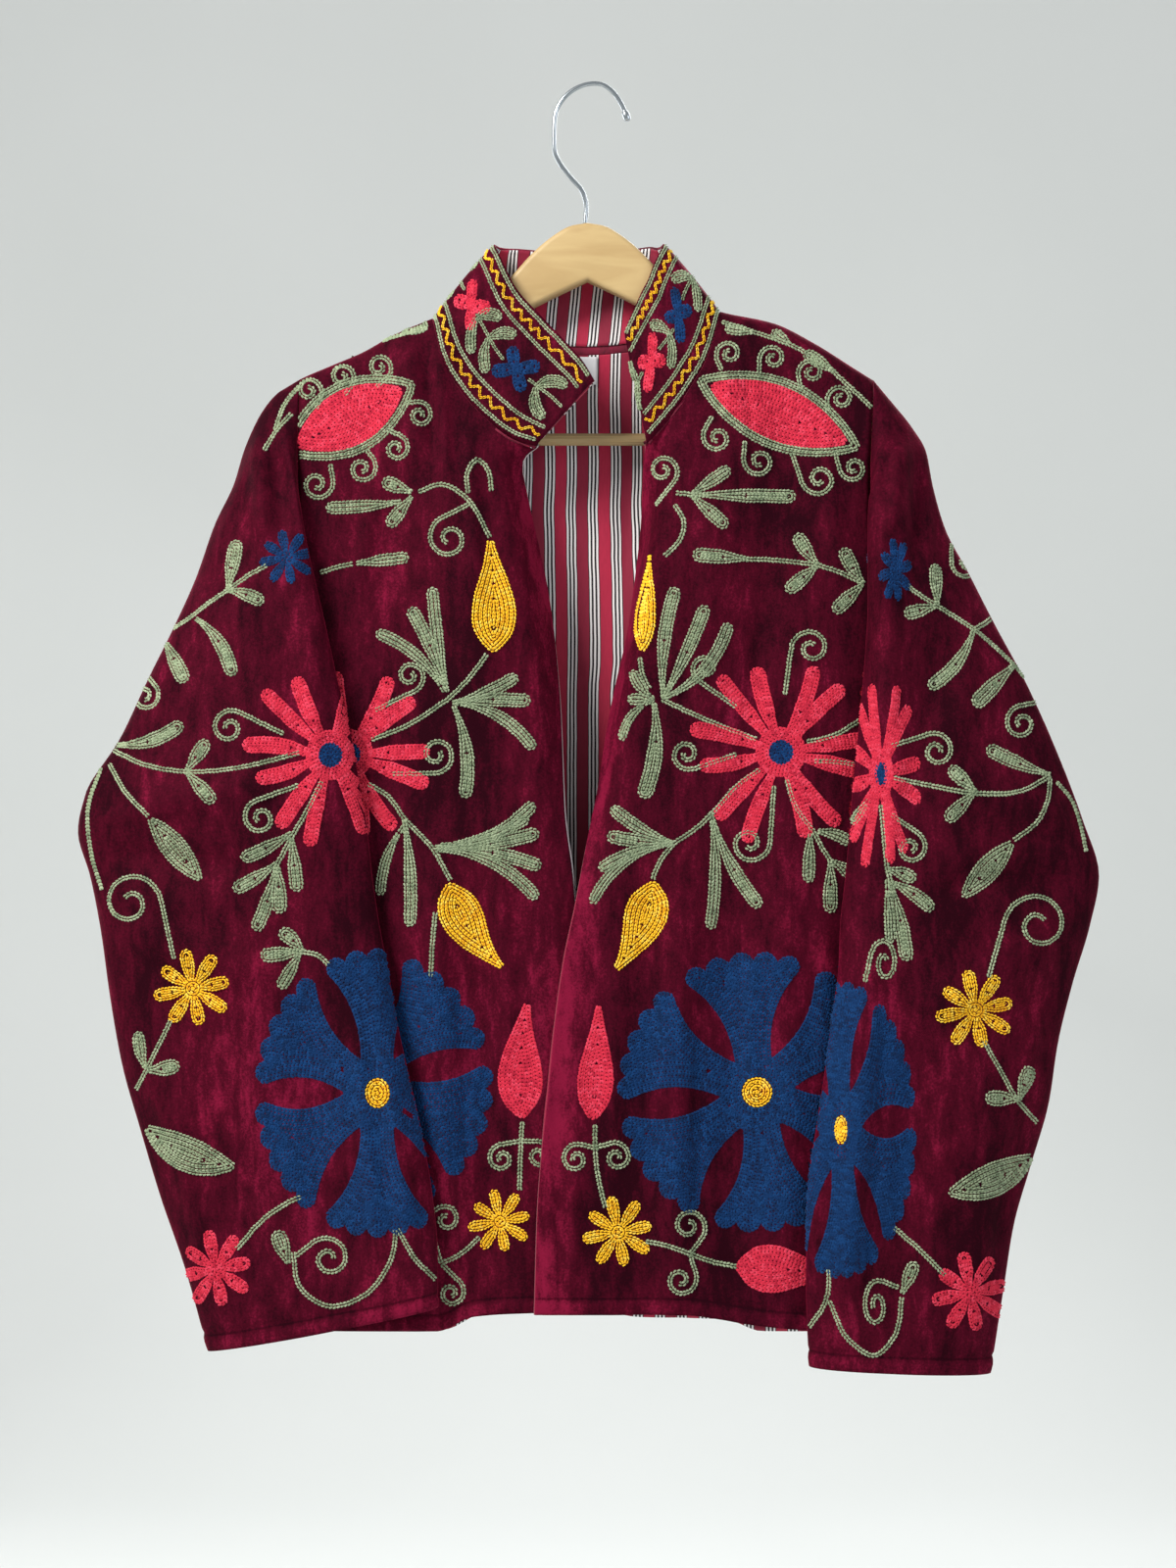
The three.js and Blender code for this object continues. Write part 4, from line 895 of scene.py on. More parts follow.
# Where the motifs lie on each panel, in the hanging plane, placed from the photograph:
# vines: their points; curls: start x z, centre x z, radius, sense;
# leaves and blades: base x z, tip x z, width, bow; pods: end x z, end x z, width;
# buds: colour, base x z, tip x z, width, bow; daisies: x z, radius, squeeze, turn;
# rosettes: colour, x z, radius, squeeze; blooms: x z, radius, squeeze, turn
DESIGNS = {
    "front_right": {
        "pods": [(-191.4, -234.9, -122.9, -198.4, 37)],
        "curls": [
            (-139.8, -196.9, -137.8, -183.6, 9, 1), (-160.2, -202, -162.2, -189.8, 9, 1),
            (-178.6, -211.2, -183.7, -198.9, 9, 1), (-120.3, -207.1, -111.4, -215, 9, -1),
            (-132.7, -224.4, -126.7, -236.8, 9, -1), (-145.9, -237.4, -149.1, -249.9, 10, -1),
            (-169.6, -246.8, -178.6, -260.2, 11, -1), (-77.6, -272.4, -91.8, -295.7, 14.5, 1),
            (-140.8, -408.1, -117.8, -385.3, 10.5, 1), (-129.3, -449.3, -100.5, -436.5, 12.5, 1),
            (-45.4, -689.3, -57.6, -700.8, 9.5, 1), (-45.4, -689.3, -33.3, -698.9, 9.5, -1),
            (-97.3, -769.3, -94.1, -740.5, 11, -1), (-97.3, -769.3, -90.9, -788.5, 9.5, -1),
        ],
        "vines": [
            [(-112.3, -265.2), (-97, -260.2), (-81.7, -268.2), (-65.3, -294.8)],
            [(-79.6, -266.2), (-80, -252), (-73.6, -243.8), (-67, -250), (-64.3, -264.3)],
            [(-176.6, -318.1), (-164, -314), (-155.1, -312.1)],
            [(-149.1, -429.4), (-120, -418), (-92.9, -400.9)],
            [(-92.9, -400.9), (-80, -388), (-67.4, -371.2)],
            [(-145.3, -455.7), (-132, -464), (-121.6, -478.1), (-102.6, -498.6), (-91.2, -518.8)],
            [(-44.2, -676.5), (-45.4, -698), (-46.1, -721.3)],
            [(-71.7, -751.4), (-84.5, -763), (-97.3, -769.3)],
            [(-104, -583), (-103, -560), (-101, -540)],
            [(-106, -158), (-124, -163), (-144, -170), (-163, -178)],
        ],
        "leaves": [
            (-122.4, -271.4, -172.5, -275.5, 8.5, 0.02), (-116.5, -265.2, -135.7, -258, 9.5, 0),
            (-116.5, -268, -131.8, -287.7, 9, 0), (-155.1, -312.1, -118.4, -307.8, 8, 0),
            (-95, -396, -139.8, -357.1, 8, -0.1), (-94, -394, -117.4, -340.7, 9, -0.03),
            (-93, -396, -103, -327.4, 8, 0.02), (-89.9, -402.9, -47.4, -385.3, 8.5, -0.05),
            (-89.9, -402.9, -39, -401.9, 9, 0.03), (-89.9, -402.9, -36.5, -433.3, 8, 0.12),
            (-89, -405, -81.9, -465.3, 9, 0.08), (-121.6, -478.1, -117.8, -549.1, 8.5, 0.03),
            (-121.6, -483.2, -137, -529, 7, -0.08), (-102.6, -497.3, -36.5, -468.5, 8.5, -0.12),
            (-100, -497.3, -33.3, -487.7, 9, -0.04), (-100, -498, -32, -510.1, 9, 0.05),
            (-100, -499, -34.6, -531.2, 8.5, 0.12), (-98, -496, -40, -478, 7, -0.06),
            (-124, -162, -106, -156, 8, 0), (-144, -169, -128, -161, 8, 0), (-163, -177, -146, -167, 8, 0),
        ],
        "buds": [
            (YELLOW, -65.5, -294.8, -63.4, -370.3, 29, 0.02), (YELLOW, -55.7, -577, -92.2, -520.3, 28, 0.08),
            (RED, -40.5, -597.8, -43.9, -674.6, 29, -0.04),
        ],
        "daisies": [(-158, -436.5, 56, 1, 5)],
        "rosettes": [(YELLOW, -58.9, -741.8, 21.5, 1)],
        "blooms": [(-153.6, -652, 92, 1, 12)],
    },
    "front_left": {
        "pods": [(167.7, -233, 78.7, -195.2, 35)],
        "curls": [
            (86.2, -185.6, 90.9, -174.7, 9, -1), (110.7, -188.6, 119.5, -177.9, 9, -1),
            (138.2, -198.4, 144.6, -186.9, 9, -1), (155.5, -212.5, 163.8, -204.2, 9, -1),
            (80, -215.7, 83.2, -229.8, 10, 1), (101.1, -231.7, 110.7, -245.1, 10.5, 1),
            (131.8, -239.4, 149.8, -256.6, 11.5, 1), (160, -239.4, 172.2, -249.6, 9, 1),
            (43, -274, 47.5, -250.9, 10.5, 1), (95.9, -405.8, 75.5, -380.2, 9.5, -1),
            (127.4, -397.8, 144.6, -367.2, 13, -1), (95.9, -436.5, 63.2, -436.5, 10.5, -1),
            (120.3, -457, 104.1, -494.7, 13.5, -1), (3.1, -693.6, -9.2, -701, 10, 1),
            (3.1, -693.6, 17.3, -700, 10, -1), (65.3, -762.9, 64.3, -744.6, 12, 1),
            (65.3, -762.9, 59.1, -780.2, 11, -1),
        ],
        "vines": [
            [(65.9, -266.9), (56.3, -265.6)],
            [(55, -273.3), (61.2, -283.5), (59.2, -295.7), (48.9, -307)],
            [(104.1, -309.1), (125, -310), (148.9, -313)],
            [(148.9, -313), (164, -318), (178.6, -325.1)],
            [(32.6, -373.1), (34, -384), (38.8, -393.6)],
            [(46.7, -400.6), (78, -415), (112, -428)],
            [(112, -445.7), (95, -458), (81.6, -473.3), (68, -486), (55, -494.7)],
            [(55, -494.7), (46, -506), (40.8, -518.1)],
            [(78.5, -474), (80.5, -480), (82.6, -485.5)],
            [(128.5, -452.9), (134, -470), (146, -487)],
            [(146, -487), (152, -498), (157, -506)],
            [(3.2, -678.4), (3.4, -696), (5.1, -712), (11.2, -736.5)],
            [(30.6, -753.9), (48, -757), (65.3, -762.9), (80, -768), (95.9, -771.2)],
            [(140, -429), (160, -424), (180, -412)],
            [(146, -441), (165, -442), (184, -446)],
            [(86, -154), (108, -161), (131, -169), (152, -181), (169, -196), (184, -210), (196, -222)],
        ],
        "leaves": [
            (65.9, -266.9, 134.4, -268.2, 9, 0), (65.9, -266.9, 91.5, -249.6, 8.5, 0),
            (65.9, -266.9, 89.6, -288, 9, 0), (104.1, -309.1, 67.2, -305.9, 9.5, 0),
            (148.9, -313, 134.7, -292.5, 9.5, 0.03), (148.9, -313, 128.5, -330.2, 9.5, 0),
            (178.6, -325.1, 165.1, -301.9, 9.5, 0.03), (178.6, -325.1, 159.2, -343.7, 9.5, 0),
            (48, -400, 56.1, -327.4, 9, 0.05), (48, -400, 75.5, -339.6, 9, -0.02),
            (48, -400, 90.8, -350.7, 8.5, -0.12), (42, -400.8, 27.5, -381.4, 7, 0.1),
            (42, -400.8, 24.3, -400.6, 8, 0), (42, -400.8, 20.5, -428.2, 6, -0.15),
            (41.8, -403, 34.6, -465.1, 10.5, 0.07),
            (55, -494.7, 14.1, -471, 8.5, 0.06), (55, -494.7, 11.2, -489.6, 9, 0.03),
            (55, -494.7, 6.1, -512, 8.5, -0.06), (55, -494.7, 1, -534.4, 7, -0.14),
            (79, -474, 78.5, -550.8, 8, 0.04), (82, -484, 111.2, -536.3, 9, -0.05),
            (143.8, -487, 142.7, -520.2, 8.5, 0), (146, -487, 172, -495, 8, 0.08),
            (157.1, -505.9, 157.1, -540, 9.5, 0), (157, -506, 176, -520, 9, 0.05),
            (108, -161, 88, -158, 8, 0), (131, -169, 119, -160, 8, 0), (160, -187, 140, -174, 9, 0),
        ],
        "buds": [
            (YELLOW, 39.5, -304, 33.9, -371.2, 14, 0), (YELLOW, 15.8, -578.6, 41.8, -519.3, 28, -0.07),
            (RED, 5.6, -598.8, 1.5, -676.3, 23, 0.01), (RED, 162, -775.7, 95.4, -771.2, 31, 0),
        ],
        "daisies": [(124.8, -435.2, 59, 1, 12)],
        "rosettes": [(YELLOW, 18.4, -748.8, 24, 1)],
        "blooms": [(109.2, -657.3, 93, 1, 7)],
    },
    "sleeve_right": {
        "curls": [
            (-288.7, -385.6, -290.8, -398.7, 10, -1), (-200, -423.4, -235.7, -419.2, 12, 1),
            (-190, -456.8, -215.2, -478.3, 12, 1), (-270.9, -574.5, -300.4, -533.3, 20, 1),
            (-192.6, -764.4, -170.6, -766, 14.5, -1),
        ],
        "vines": [
            [(-236.8, -329.5), (-222, -319), (-209.3, -312.1)],
            [(-236.8, -329.5), (-248, -337), (-259.2, -345.8), (-272.6, -355)],
            [(-312.3, -433.5), (-292, -443), (-265.3, -447.8), (-228, -445), (-189.8, -435.6)],
            [(-314, -442.9), (-303, -462), (-288.6, -477)],
            [(-319, -445.4), (-327.5, -470), (-326, -500), (-318.8, -525)],
            [(-174.7, -453), (-183, -470), (-195, -490.9), (-205.1, -510)],
            [(-202, -566), (-187.5, -565.7), (-176, -569), (-170.9, -574)],
            [(-273.5, -609.9), (-281, -625), (-287.4, -637.8), (-296.3, -655.6)],
            [(-174.7, -721.3), (-192, -727), (-210.2, -737.8), (-231.7, -760.6)],
            [(-126.7, -737.8), (-129.3, -764.4), (-146.9, -789.8), (-172.2, -796.8), (-189.8, -784.1),
             (-193.9, -761.9)],
            [(-126.7, -744.1), (-120, -757), (-113.9, -766.7), (-101, -779.5)],
            [(-213, -238), (-204, -224), (-195, -214)],
            [(-206, -225), (-199, -207), (-190, -196)],
        ],
        "leaves": [
            (-236.8, -329.5, -230.6, -296.8, 10, 0), (-236.8, -329.5, -213.2, -337.7, 9, 0.06),
            (-257.3, -347.8, -233.6, -385.6, 9.5, 0.1), (-277.8, -362.1, -264.3, -389.7, 10, 0),
            (-311.2, -430.5, -266.3, -416.2, 9.5, -0.1), (-263.9, -447.8, -250, -427.4, 9.5, 0),
            (-263.9, -447.8, -245.6, -468.2, 9.5, 0), (-195, -488, -227.8, -505, 9, 0.03),
            (-195, -490.9, -191.2, -526.4, 9, 0), (-205.1, -508, -233, -525.2, 9, 0.03),
            (-205.1, -510, -219, -551.7, 9, 0.04), (-204, -510, -202.6, -540.4, 10, 0),
            (-187.5, -565.7, -202.6, -551.7, 9.5, -0.06), (-187.5, -565.7, -215.2, -568.2, 9.5, 0),
            (-189, -566, -202.6, -589.7, 8.5, 0), (-289.9, -642.9, -295, -617.6, 8.5, 0.05),
            (-289.9, -642.9, -268.4, -639.1, 10, -0.05), (-197, -769.3, -204.8, -748, 11, 0),
            (-249, -286.7, -256, -311, 6.5, 0),
        ],
        "blades": [(-288.6, -477, -253.2, -520.1, 17, 0), (-291, -679, -230.4, -705.9, 23, -0.09)],
        "daisies": [(-169.8, -437.1, 57, 0.97, 20)],
        "rosettes": [
            (BLUE, -198, -308.1, 18.5, 1), (YELLOW, -259.5, -589.7, 26, 1), (RED, -244.5, -773.1, 26, 0.95),
        ],
        "blooms": [(-138.9, -657.9, 96, 0.85, 0)],
    },
    "sleeve_left": {
        "curls": [
            (236, -294, 246, -312.3, 10, 1), (292.2, -402.6, 282, -416.4, 11.5, 1),
            (196.5, -431.2, 226.4, -434.4, 12, -1), (196.5, -475.8, 209.3, -497.9, 11, -1),
            (179.6, -585.5, 192.4, -572.8, 17, -1), (259.2, -586.6, 293, -548, 22, -1),
            (202, -785, 187, -796.8, 17, 1),
        ],
        "squeezed_curls": (4, 6),
        "vines": [
            [(202.9, -322.9), (215, -332), (227.2, -339.8), (250.8, -354.8), (277.1, -378.2)],
            [(250.8, -354.8), (258, -351), (263.5, -346.2)],
            [(277.1, -378.2), (290, -397), (301, -418), (308, -440)],
            [(194.6, -451.2), (222, -457), (252.8, -462.1), (283.5, -459.9), (300.7, -450.4)],
            [(300.7, -452), (299, -466), (294.3, -478), (277.1, -492.8)],
            [(304.6, -454.4), (314, -466), (320, -482), (324, -500)],
            [(190.1, -469.4), (192, -490), (194.4, -512), (197.8, -524)],
            [(257.2, -623.7), (268, -643), (280.3, -664), (292, -677)],
            [(193.3, -741.5), (215, -760), (236.8, -781.8)],
            [(155.3, -768), (156, -782), (154.2, -793.5), (143.4, -810.6)],
            [(156.2, -793.5), (169, -819), (186, -829.4), (199, -816.7), (203.9, -791.4)],
        ],
        "leaves": [
            (227, -339.8, 225.3, -312.3, 8.5, 0), (226, -339.8, 205.1, -345.3, 9, 0),
            (250.8, -354.8, 221, -393, 9, 0.1), (277.1, -378.2, 250.8, -404.7, 10.5, 0),
            (251.8, -460.8, 234.9, -444.8, 9.5, 0), (251.8, -460.8, 232.7, -480, 9.5, 0),
            (300.7, -450, 259.2, -432.3, 9.5, 0.03), (194.4, -512, 212.5, -519.4, 9, 0.08),
            (196, -520, 224, -538.5, 9, 0.06), (197, -523, 207.2, -571.5, 9.5, 0.02),
            (194, -518, 196.5, -560, 6.5, 0), (182.8, -465.3, 171.1, -482.2, 6.5, 0),
            (280.3, -662, 258.2, -660.9, 10, 0), (280.3, -662, 287.9, -640.6, 10, 0),
            (203.9, -789, 212.5, -768, 9, 0),
        ],
        "blades": [(277.1, -492.8, 242.2, -531.1, 16, 0), (289.9, -697.9, 232.7, -723.4, 22, 0.07)],
        "daisies": [(190.2, -449.3, 62, 0.42, 10)],
        "rosettes": [
            (BLUE, 199.7, -316.6, 22, 0.5), (YELLOW, 251.8, -603.5, 26.5, 1), (RED, 248.6, -788.2, 27, 0.95),
        ],
        "blooms": [(164, -682, 99, 0.5, 5)],
    },
    "back": {
        "curls": [
            (-24, -296, -45, -285, 12, -1), (20, -296, 41, -285, 12, 1),
            (-24, -340, -46, -352, 12, 1), (20, -340, 42, -352, 12, -1),
            (-30, -560, -52, -548, 12, -1), (26, -560, 48, -548, 12, 1),
        ],
        "vines": [
            [(-2, -352), (-4, -390), (0, -430), (-2, -470)],
            [(-2, -545), (-2, -600), (-2, -648)],
            [(-2, -548), (-18, -552), (-30, -560)],
            [(-2, -548), (14, -552), (26, -560)],
        ],
        "leaves": [
            (-2, -380, -26, -396, 9, 0.05), (-2, -380, 22, -396, 9, -0.05), (-1, -425, -27, -444, 9, 0.05),
            (-1, -425, 24, -444, 9, -0.05), (-2, -600, -22, -586, 9, 0), (-2, -600, 18, -586, 9, 0),
            (-2, -625, -22, -612, 9, 0), (-2, -625, 18, -612, 9, 0),
        ],
        "buds": [(RED, -2, -744, -2, -662, 30, 0)],
        "daisies": [(-2, -316, 44, 1, 8)],
        "rosettes": [(YELLOW, -2, -508, 32, 1), (BLUE, -2, -222, 20, 1)],
    },
}
# Front motifs closer to the middle than this are left off the back
FRONT_CENTRE_BAND = 52
DAISY_PETALS = 12
ROSETTE_PETALS = 8


def mirror_spot(x):
    return 2 * CENTRE_X - x


def turned_round(points, angle, squeeze, centre):
    """A petal's points turned by an angle, narrowed, and moved to the flower's centre."""
    c, s = math.cos(angle), math.sin(angle)
    x, z = points[:, 0], points[:, 1]
    return np.stack([(x * c - z * s) * squeeze, x * s + z * c], axis=1) + centre


def row_colour_runs(design, sizes):
    """Every stitched run of a panel's design, as (colour, points, width)."""
    space, thick = sizes.row_space / MM, sizes.vine_width / MM
    runs = []

    def fill(colour, rows, width=space * 1.26):
        runs.extend((colour, row, width) for row in rows)

    flowers = [(x, z, 17.5 * squeeze, 17.5) for x, z, _, squeeze, _ in design.get("daisies", ())]
    flowers += [(x, z, 0.75 * r * squeeze, 0.75 * r) for _, x, z, r, squeeze in design.get("rosettes", ())]
    flowers += [(x, z, 0.93 * r * squeeze, 0.93 * r) for x, z, r, squeeze, _ in design.get("blooms", ())]

    def stem(points):
        runs.extend((GREEN, part, thick) for part in parts_outside(points, flowers))

    for vine in design.get("vines", ()):
        stem(rounded(vine))
    squeezed = design.get("squeezed_curls", ())
    for i, (ax, az, cx, cz, radius, sense) in enumerate(design.get("curls", ())):
        squeeze = 0.55 if i in squeezed else 1.0
        stem(curl_row((ax, az), (cx, cz), radius, sense, squeeze))
    for bx, bz, tx, tz, wide, bow in design.get("leaves", ()):
        fill(GREEN, rows_along((bx, bz), (tx, tz), wide, "finger", space, bow))
    for bx, bz, tx, tz, wide, bow in design.get("blades", ()):
        fill(GREEN, rows_along((bx, bz), (tx, tz), wide, "lens", space, bow))
    for bx, bz, tx, tz, wide in design.get("pods", ()):
        edge = 2 * space
        long = math.hypot(tx - bx, tz - bz)
        ux, uz = (tx - bx) / long * edge * 1.6, (tz - bz) / long * edge * 1.6
        fill(RED, rows_along((bx, bz), (tx, tz), wide, "lens", space))
        outline = rows_along((bx - ux, bz - uz), (tx + ux, tz + uz), wide + 2 * edge, "lens", space)
        fill(GREEN, outline[:2])
    for colour, bx, bz, tx, tz, wide, bow in design.get("buds", ()):
        fill(colour, rows_along((bx, bz), (tx, tz), wide, "bud", space, bow))
    for x, z, radius, squeeze, turn in design.get("daisies", ()):
        fill(BLUE, ring_rows((x, z), 0.6, 8.2, space, squeeze))
        fill(RED, ring_rows((x, z), 8.2, 16, space, squeeze))
        for i in range(DAISY_PETALS):
            angle = math.radians(turn + 360 / DAISY_PETALS * i + (4 if i % 2 else -3))
            reach = radius * (1.04 if i % 3 else 0.95) * (1 + 0.04 * math.sin(5 * i))
            wide, bow = 10.4 if i % 2 else 9.6, 0.06 * math.sin(2.3 * i)
            for row in rows_along((13.5, 0), (reach, 0), wide, "petal", space, bow):
                runs.append((RED, turned_round(row, angle, squeeze, (x, z)), space * 1.2))
    for colour, x, z, radius, squeeze in design.get("rosettes", ()):
        fill(colour, ring_rows((x, z), 0.5, 0.24 * radius, space, squeeze))
        for i in range(ROSETTE_PETALS):
            angle = 2 * math.pi * i / ROSETTE_PETALS + 0.2 + 0.05 * math.sin(3.1 * i)
            reach = radius * (1 if i % 3 else 0.93)
            for row in rows_along((0.2 * radius, 0), (reach, 0), 0.34 * radius, "petal", space):
                runs.append((colour, turned_round(row, angle, squeeze, (x, z)), space * 1.1))
    for x, z, radius, squeeze, turn in design.get("blooms", ()):
        fill(YELLOW, ring_rows((x, z), 0.5, 10, space, squeeze**1.5))
        fill(BLUE, bloom_rows((x, z), radius, turn, space, squeeze, 10.5))
    return runs


def mirrored_design(design, far_only=True):
    """A panel's design turned over left to right, for the back."""
    def keep(x):
        return not far_only or abs(x - CENTRE_X) > FRONT_CENTRE_BAND

    flipped = {}
    for name, items in design.items():
        if name == "vines":
            flipped[name] = [[(mirror_spot(x), z) for x, z in vine] for vine in items
                             if all(keep(x) for x, _ in vine)]
        elif name in ("leaves", "blades", "curls", "pods"):
            flipped[name] = [(mirror_spot(r[0]), r[1], mirror_spot(r[2]), r[3], r[4],
                              *(-v for v in r[5:])) for r in items if keep(r[0]) and keep(r[2])]
        elif name == "buds":
            flipped[name] = [(r[0], mirror_spot(r[1]), r[2], mirror_spot(r[3]), r[4], r[5], -r[6])
                             for r in items if keep(r[1]) and keep(r[3])]
        elif name == "rosettes":
            flipped[name] = [(r[0], mirror_spot(r[1]), *r[2:]) for r in items if keep(r[1])]
        elif name in ("daisies", "blooms"):
            flipped[name] = [(mirror_spot(r[0]), *r[1:4], -r[4]) for r in items if keep(r[0])]
    return flipped


# Surfaces that the stitches lie on
EYE = spots([-1.3, -1750, -456])
SURFACES = {}


class Surface:
    """A panel's outer face, for finding the point under each stitch."""

    def __init__(self, grid, ring=False):
        self.grid = grid
        faces = grid_faces(*grid.shape[:2], ring).tolist()
        self.tree = BVHTree.FromPolygons([tuple(p) for p in grid.reshape(-1, 3)], faces)

    def cast(self, points, behind=False):
        """The points and outward normals that rays through the hanging plane meet, NaN where none is."""
        places, norms = np.full((len(points), 3), np.nan), np.zeros((len(points), 3))
        for i, (x, z) in enumerate(points):
            if behind:
                origin, way = Vector((x, 600, z)), Vector((0, -1, 0))
            else:
                origin = Vector(EYE)
                way = (Vector((x, 0, z)) - origin).normalized()
            hit, normal, _, _ = self.tree.ray_cast(origin, way)
            if hit is not None:
                places[i] = hit
                norms[i] = normal if normal.dot(way) < 0 else -normal
        return places, norms

    def sample(self, points):
        """The points and normals at fractions across and up the grid."""
        rows, cols = self.grid.shape[:2]
        a = np.clip(points[:, 0], 0, 1) * (cols - 1)
        b = np.clip(points[:, 1], 0, 1) * (rows - 1)
        j, i = np.minimum(a.astype(int), cols - 2), np.minimum(b.astype(int), rows - 2)
        f, g = (a - j)[:, None], (b - i)[:, None]
        p, q = self.grid[i, j], self.grid[i, j + 1]
        r, s = self.grid[i + 1, j], self.grid[i + 1, j + 1]
        norm = np.cross(q - p + s - r, r - p + s - q)
        norm /= np.linalg.norm(norm, axis=1, keepdims=True)
        return p * (1 - f) * (1 - g) + q * f * (1 - g) + r * (1 - f) * g + s * f * g, norm


def even_steps(points, step):
    """A run resampled at an even spacing."""
    lengths = np.linalg.norm(np.diff(points, axis=0), axis=1)
    keep = np.concatenate([[True], lengths > 1e-6])
    points, run = points[keep], np.concatenate([[0], np.cumsum(lengths[lengths > 1e-6])])
    if len(points) < 2 or run[-1] < step * 0.6:
        return None
    count = max(2, int(round(run[-1] / step)) + 1)
    at = np.linspace(0, run[-1], count)
    return np.stack([np.interp(at, run, points[:, i]) for i in range(points.shape[1])], axis=1)


class Stitches:
    """Chain stitches gathered by thread colour."""

    def __init__(self, sizes):
        self.pitch = sizes.stitch_pitch / MM * 1
        self.frames = {}

    def lay(self, colour, places, norms, width):
        """Lays stitches along a run of points, in as many lengths as the cloth shows of it."""
        shown = np.isfinite(places[:, 0])
        jump = np.linalg.norm(np.diff(places, axis=0), axis=1) > 7
        start = 0
        for i in range(1, len(places) + 1):
            if i < len(places) and shown[i] and shown[i - 1] and not jump[i - 1]:
                continue
            if shown[start] and i - start > 2:
                self.run(colour, places[start:i], norms[start:i], width)
            start = i

    def run(self, colour, places, norms, width):
        both = even_steps(np.concatenate([places, norms], axis=1), self.pitch)
        if both is None:
            return
        a, b = both[:-1, :3], both[1:, :3]
        along = b - a
        up = both[:-1, 3:] + both[1:, 3:]
        up /= np.linalg.norm(up, axis=1, keepdims=True)
        self.frames.setdefault(colour, []).append((a, along, np.cross(up, along), up, np.full(len(a), width)))

    # One half of a chain link: along, across and up, for a link one long, one wide and one high.
    # TIGHT is the plainer link of the close fills.
    LINK = spots([
        (-0.10, 0.10, -0.2), (0.30, 0.02, -0.2), (0.30, 0.46, -0.2), (0.85, 0.08, -0.2), (0.85, 0.56, -0.2),
        (1.22, 0.24, -0.2), (0.28, 0.24, 0.95), (0.80, 0.33, 1.0),
    ])
    LINK_FACES = [(0, 1, 6), (0, 6, 2), (1, 3, 7), (1, 7, 6), (2, 6, 7), (2, 7, 4), (3, 5, 7), (4, 7, 5)]
    TIGHT = spots([
        (-0.10, 0.0, 0.2), (0.55, 0.0, 0.4), (1.20, 0.30, 0.0), (0.12, 0.5, 0.05), (0.95, 0.58, 0.1),
        (0.55, 0.29, 1.0),
    ])
    TIGHT_FACES = [(0, 1, 5), (1, 2, 5), (0, 5, 3), (3, 5, 4), (5, 2, 4)]

    def build(self, name, colour, height, tones):
        """A mesh of one colour's stitches, in three tones of the thread."""
        parts = self.frames[colour]
        a, along, across, up = (np.concatenate([p[i] for p in parts]) for i in range(4))
        width = np.concatenate([p[4] for p in parts])
        across = across / np.linalg.norm(across, axis=1, keepdims=True) * (width / 1.12)[:, None]
        rng = np.random.default_rng(len(a) + sum(map(ord, name)))
        count = len(a)
        lean = rng.normal(0, 0.05, (count, 1))
        tall = height * rng.uniform(0.82, 1.12, (count, 1))
        points, faces = [], []
        tight = colour in (BLUE, RED)
        shape = self.TIGHT if tight else self.LINK
        link = np.array(self.TIGHT_FACES if tight else self.LINK_FACES)
        for side in (1, -1):
            for u, v, w in shape:
                points.append(a + along * u + across * (side * v + lean * u) + up * (w * tall))
            faces.append(link if side > 0 else link[:, ::-1])
        grid = np.stack(points, axis=1)
        starts = (np.arange(count) * 2 * len(shape))[:, None, None]
        both = np.concatenate([faces[0], faces[1] + len(shape)])[None] + starts
        tone = np.repeat(rng.choice(3, count, p=(0.56, 0.24, 0.2)), 2 * len(link))
        return mesh_object(name, grid.reshape(-1, 3), both.reshape(-1, 3), tones, tone)


def mesh_object(name, points, faces, materials, material_index=None):
    """A mesh in metres from points in millimetres."""
    mesh = bpy.data.meshes.new(name)
    if isinstance(faces, np.ndarray):
        faces = faces.tolist()
    mesh.from_pydata((np.asarray(points) * MM).tolist(), [], faces)
    for material in materials:
        mesh.materials.append(material)
    if material_index is not None:
        mesh.polygons.foreach_set("material_index", np.asarray(material_index, np.int32))
    mesh.shade_smooth()
    mesh.update()
    obj = bpy.data.objects.new(name, mesh)
    bpy.context.scene.collection.objects.link(obj)
    return obj


def grid_faces(rows, cols, ring, offset=0, turn=False):
    """The four-sided faces of a grid of points, closed round if it is a ring."""
    span = cols if ring else cols - 1
    i, j = np.meshgrid(np.arange(rows - 1), np.arange(span), indexing="ij")
    n = (j + 1) % cols
    quads = np.stack([i * cols + j, i * cols + n, (i + 1) * cols + n, (i + 1) * cols + j], axis=-1)
    quads = quads.reshape(-1, 4)
    return (quads[:, ::-1] if turn else quads) + offset


def cut_lengths(grid, across_from="first", by_x=False):
    """Distances across and along a panel's cloth, in millimetres, for its stripes."""
    if by_x:
        across = grid[..., 0]
    else:
        steps = np.linalg.norm(np.diff(grid, axis=1), axis=2)
        across = np.concatenate([np.zeros((len(grid), 1)), np.cumsum(steps, axis=1)], axis=1)
        if across_from == "last":
            across = across[:, -1:] - across
        if across_from == "middle":
            across = across - across[:, across.shape[1] // 2][:, None]
    rows = np.linalg.norm(np.diff(grid, axis=0), axis=2)
    along = np.concatenate([np.zeros((1, grid.shape[1])), np.cumsum(rows, axis=0)])
    return np.stack([across, along[-1:] - along], axis=-1)


def drawn_in(grid):
    """A lining drawn in a little from the side seams, so that it never shows past them."""
    return np.concatenate([CENTRE_X + (grid[..., :1] - CENTRE_X) * LINING_WIDTH, grid[..., 1:]], axis=-1)


def middle_rows(grid, low, high):
    """The part of a grid between two fractions of its rows."""
    at = np.linspace(low, high, len(grid)) * (len(grid) - 1)
    i = np.minimum(at.astype(int), len(grid) - 2)
    f = (at - i)[:, None, None]
    return grid[i] * (1 - f) + grid[i + 1] * f


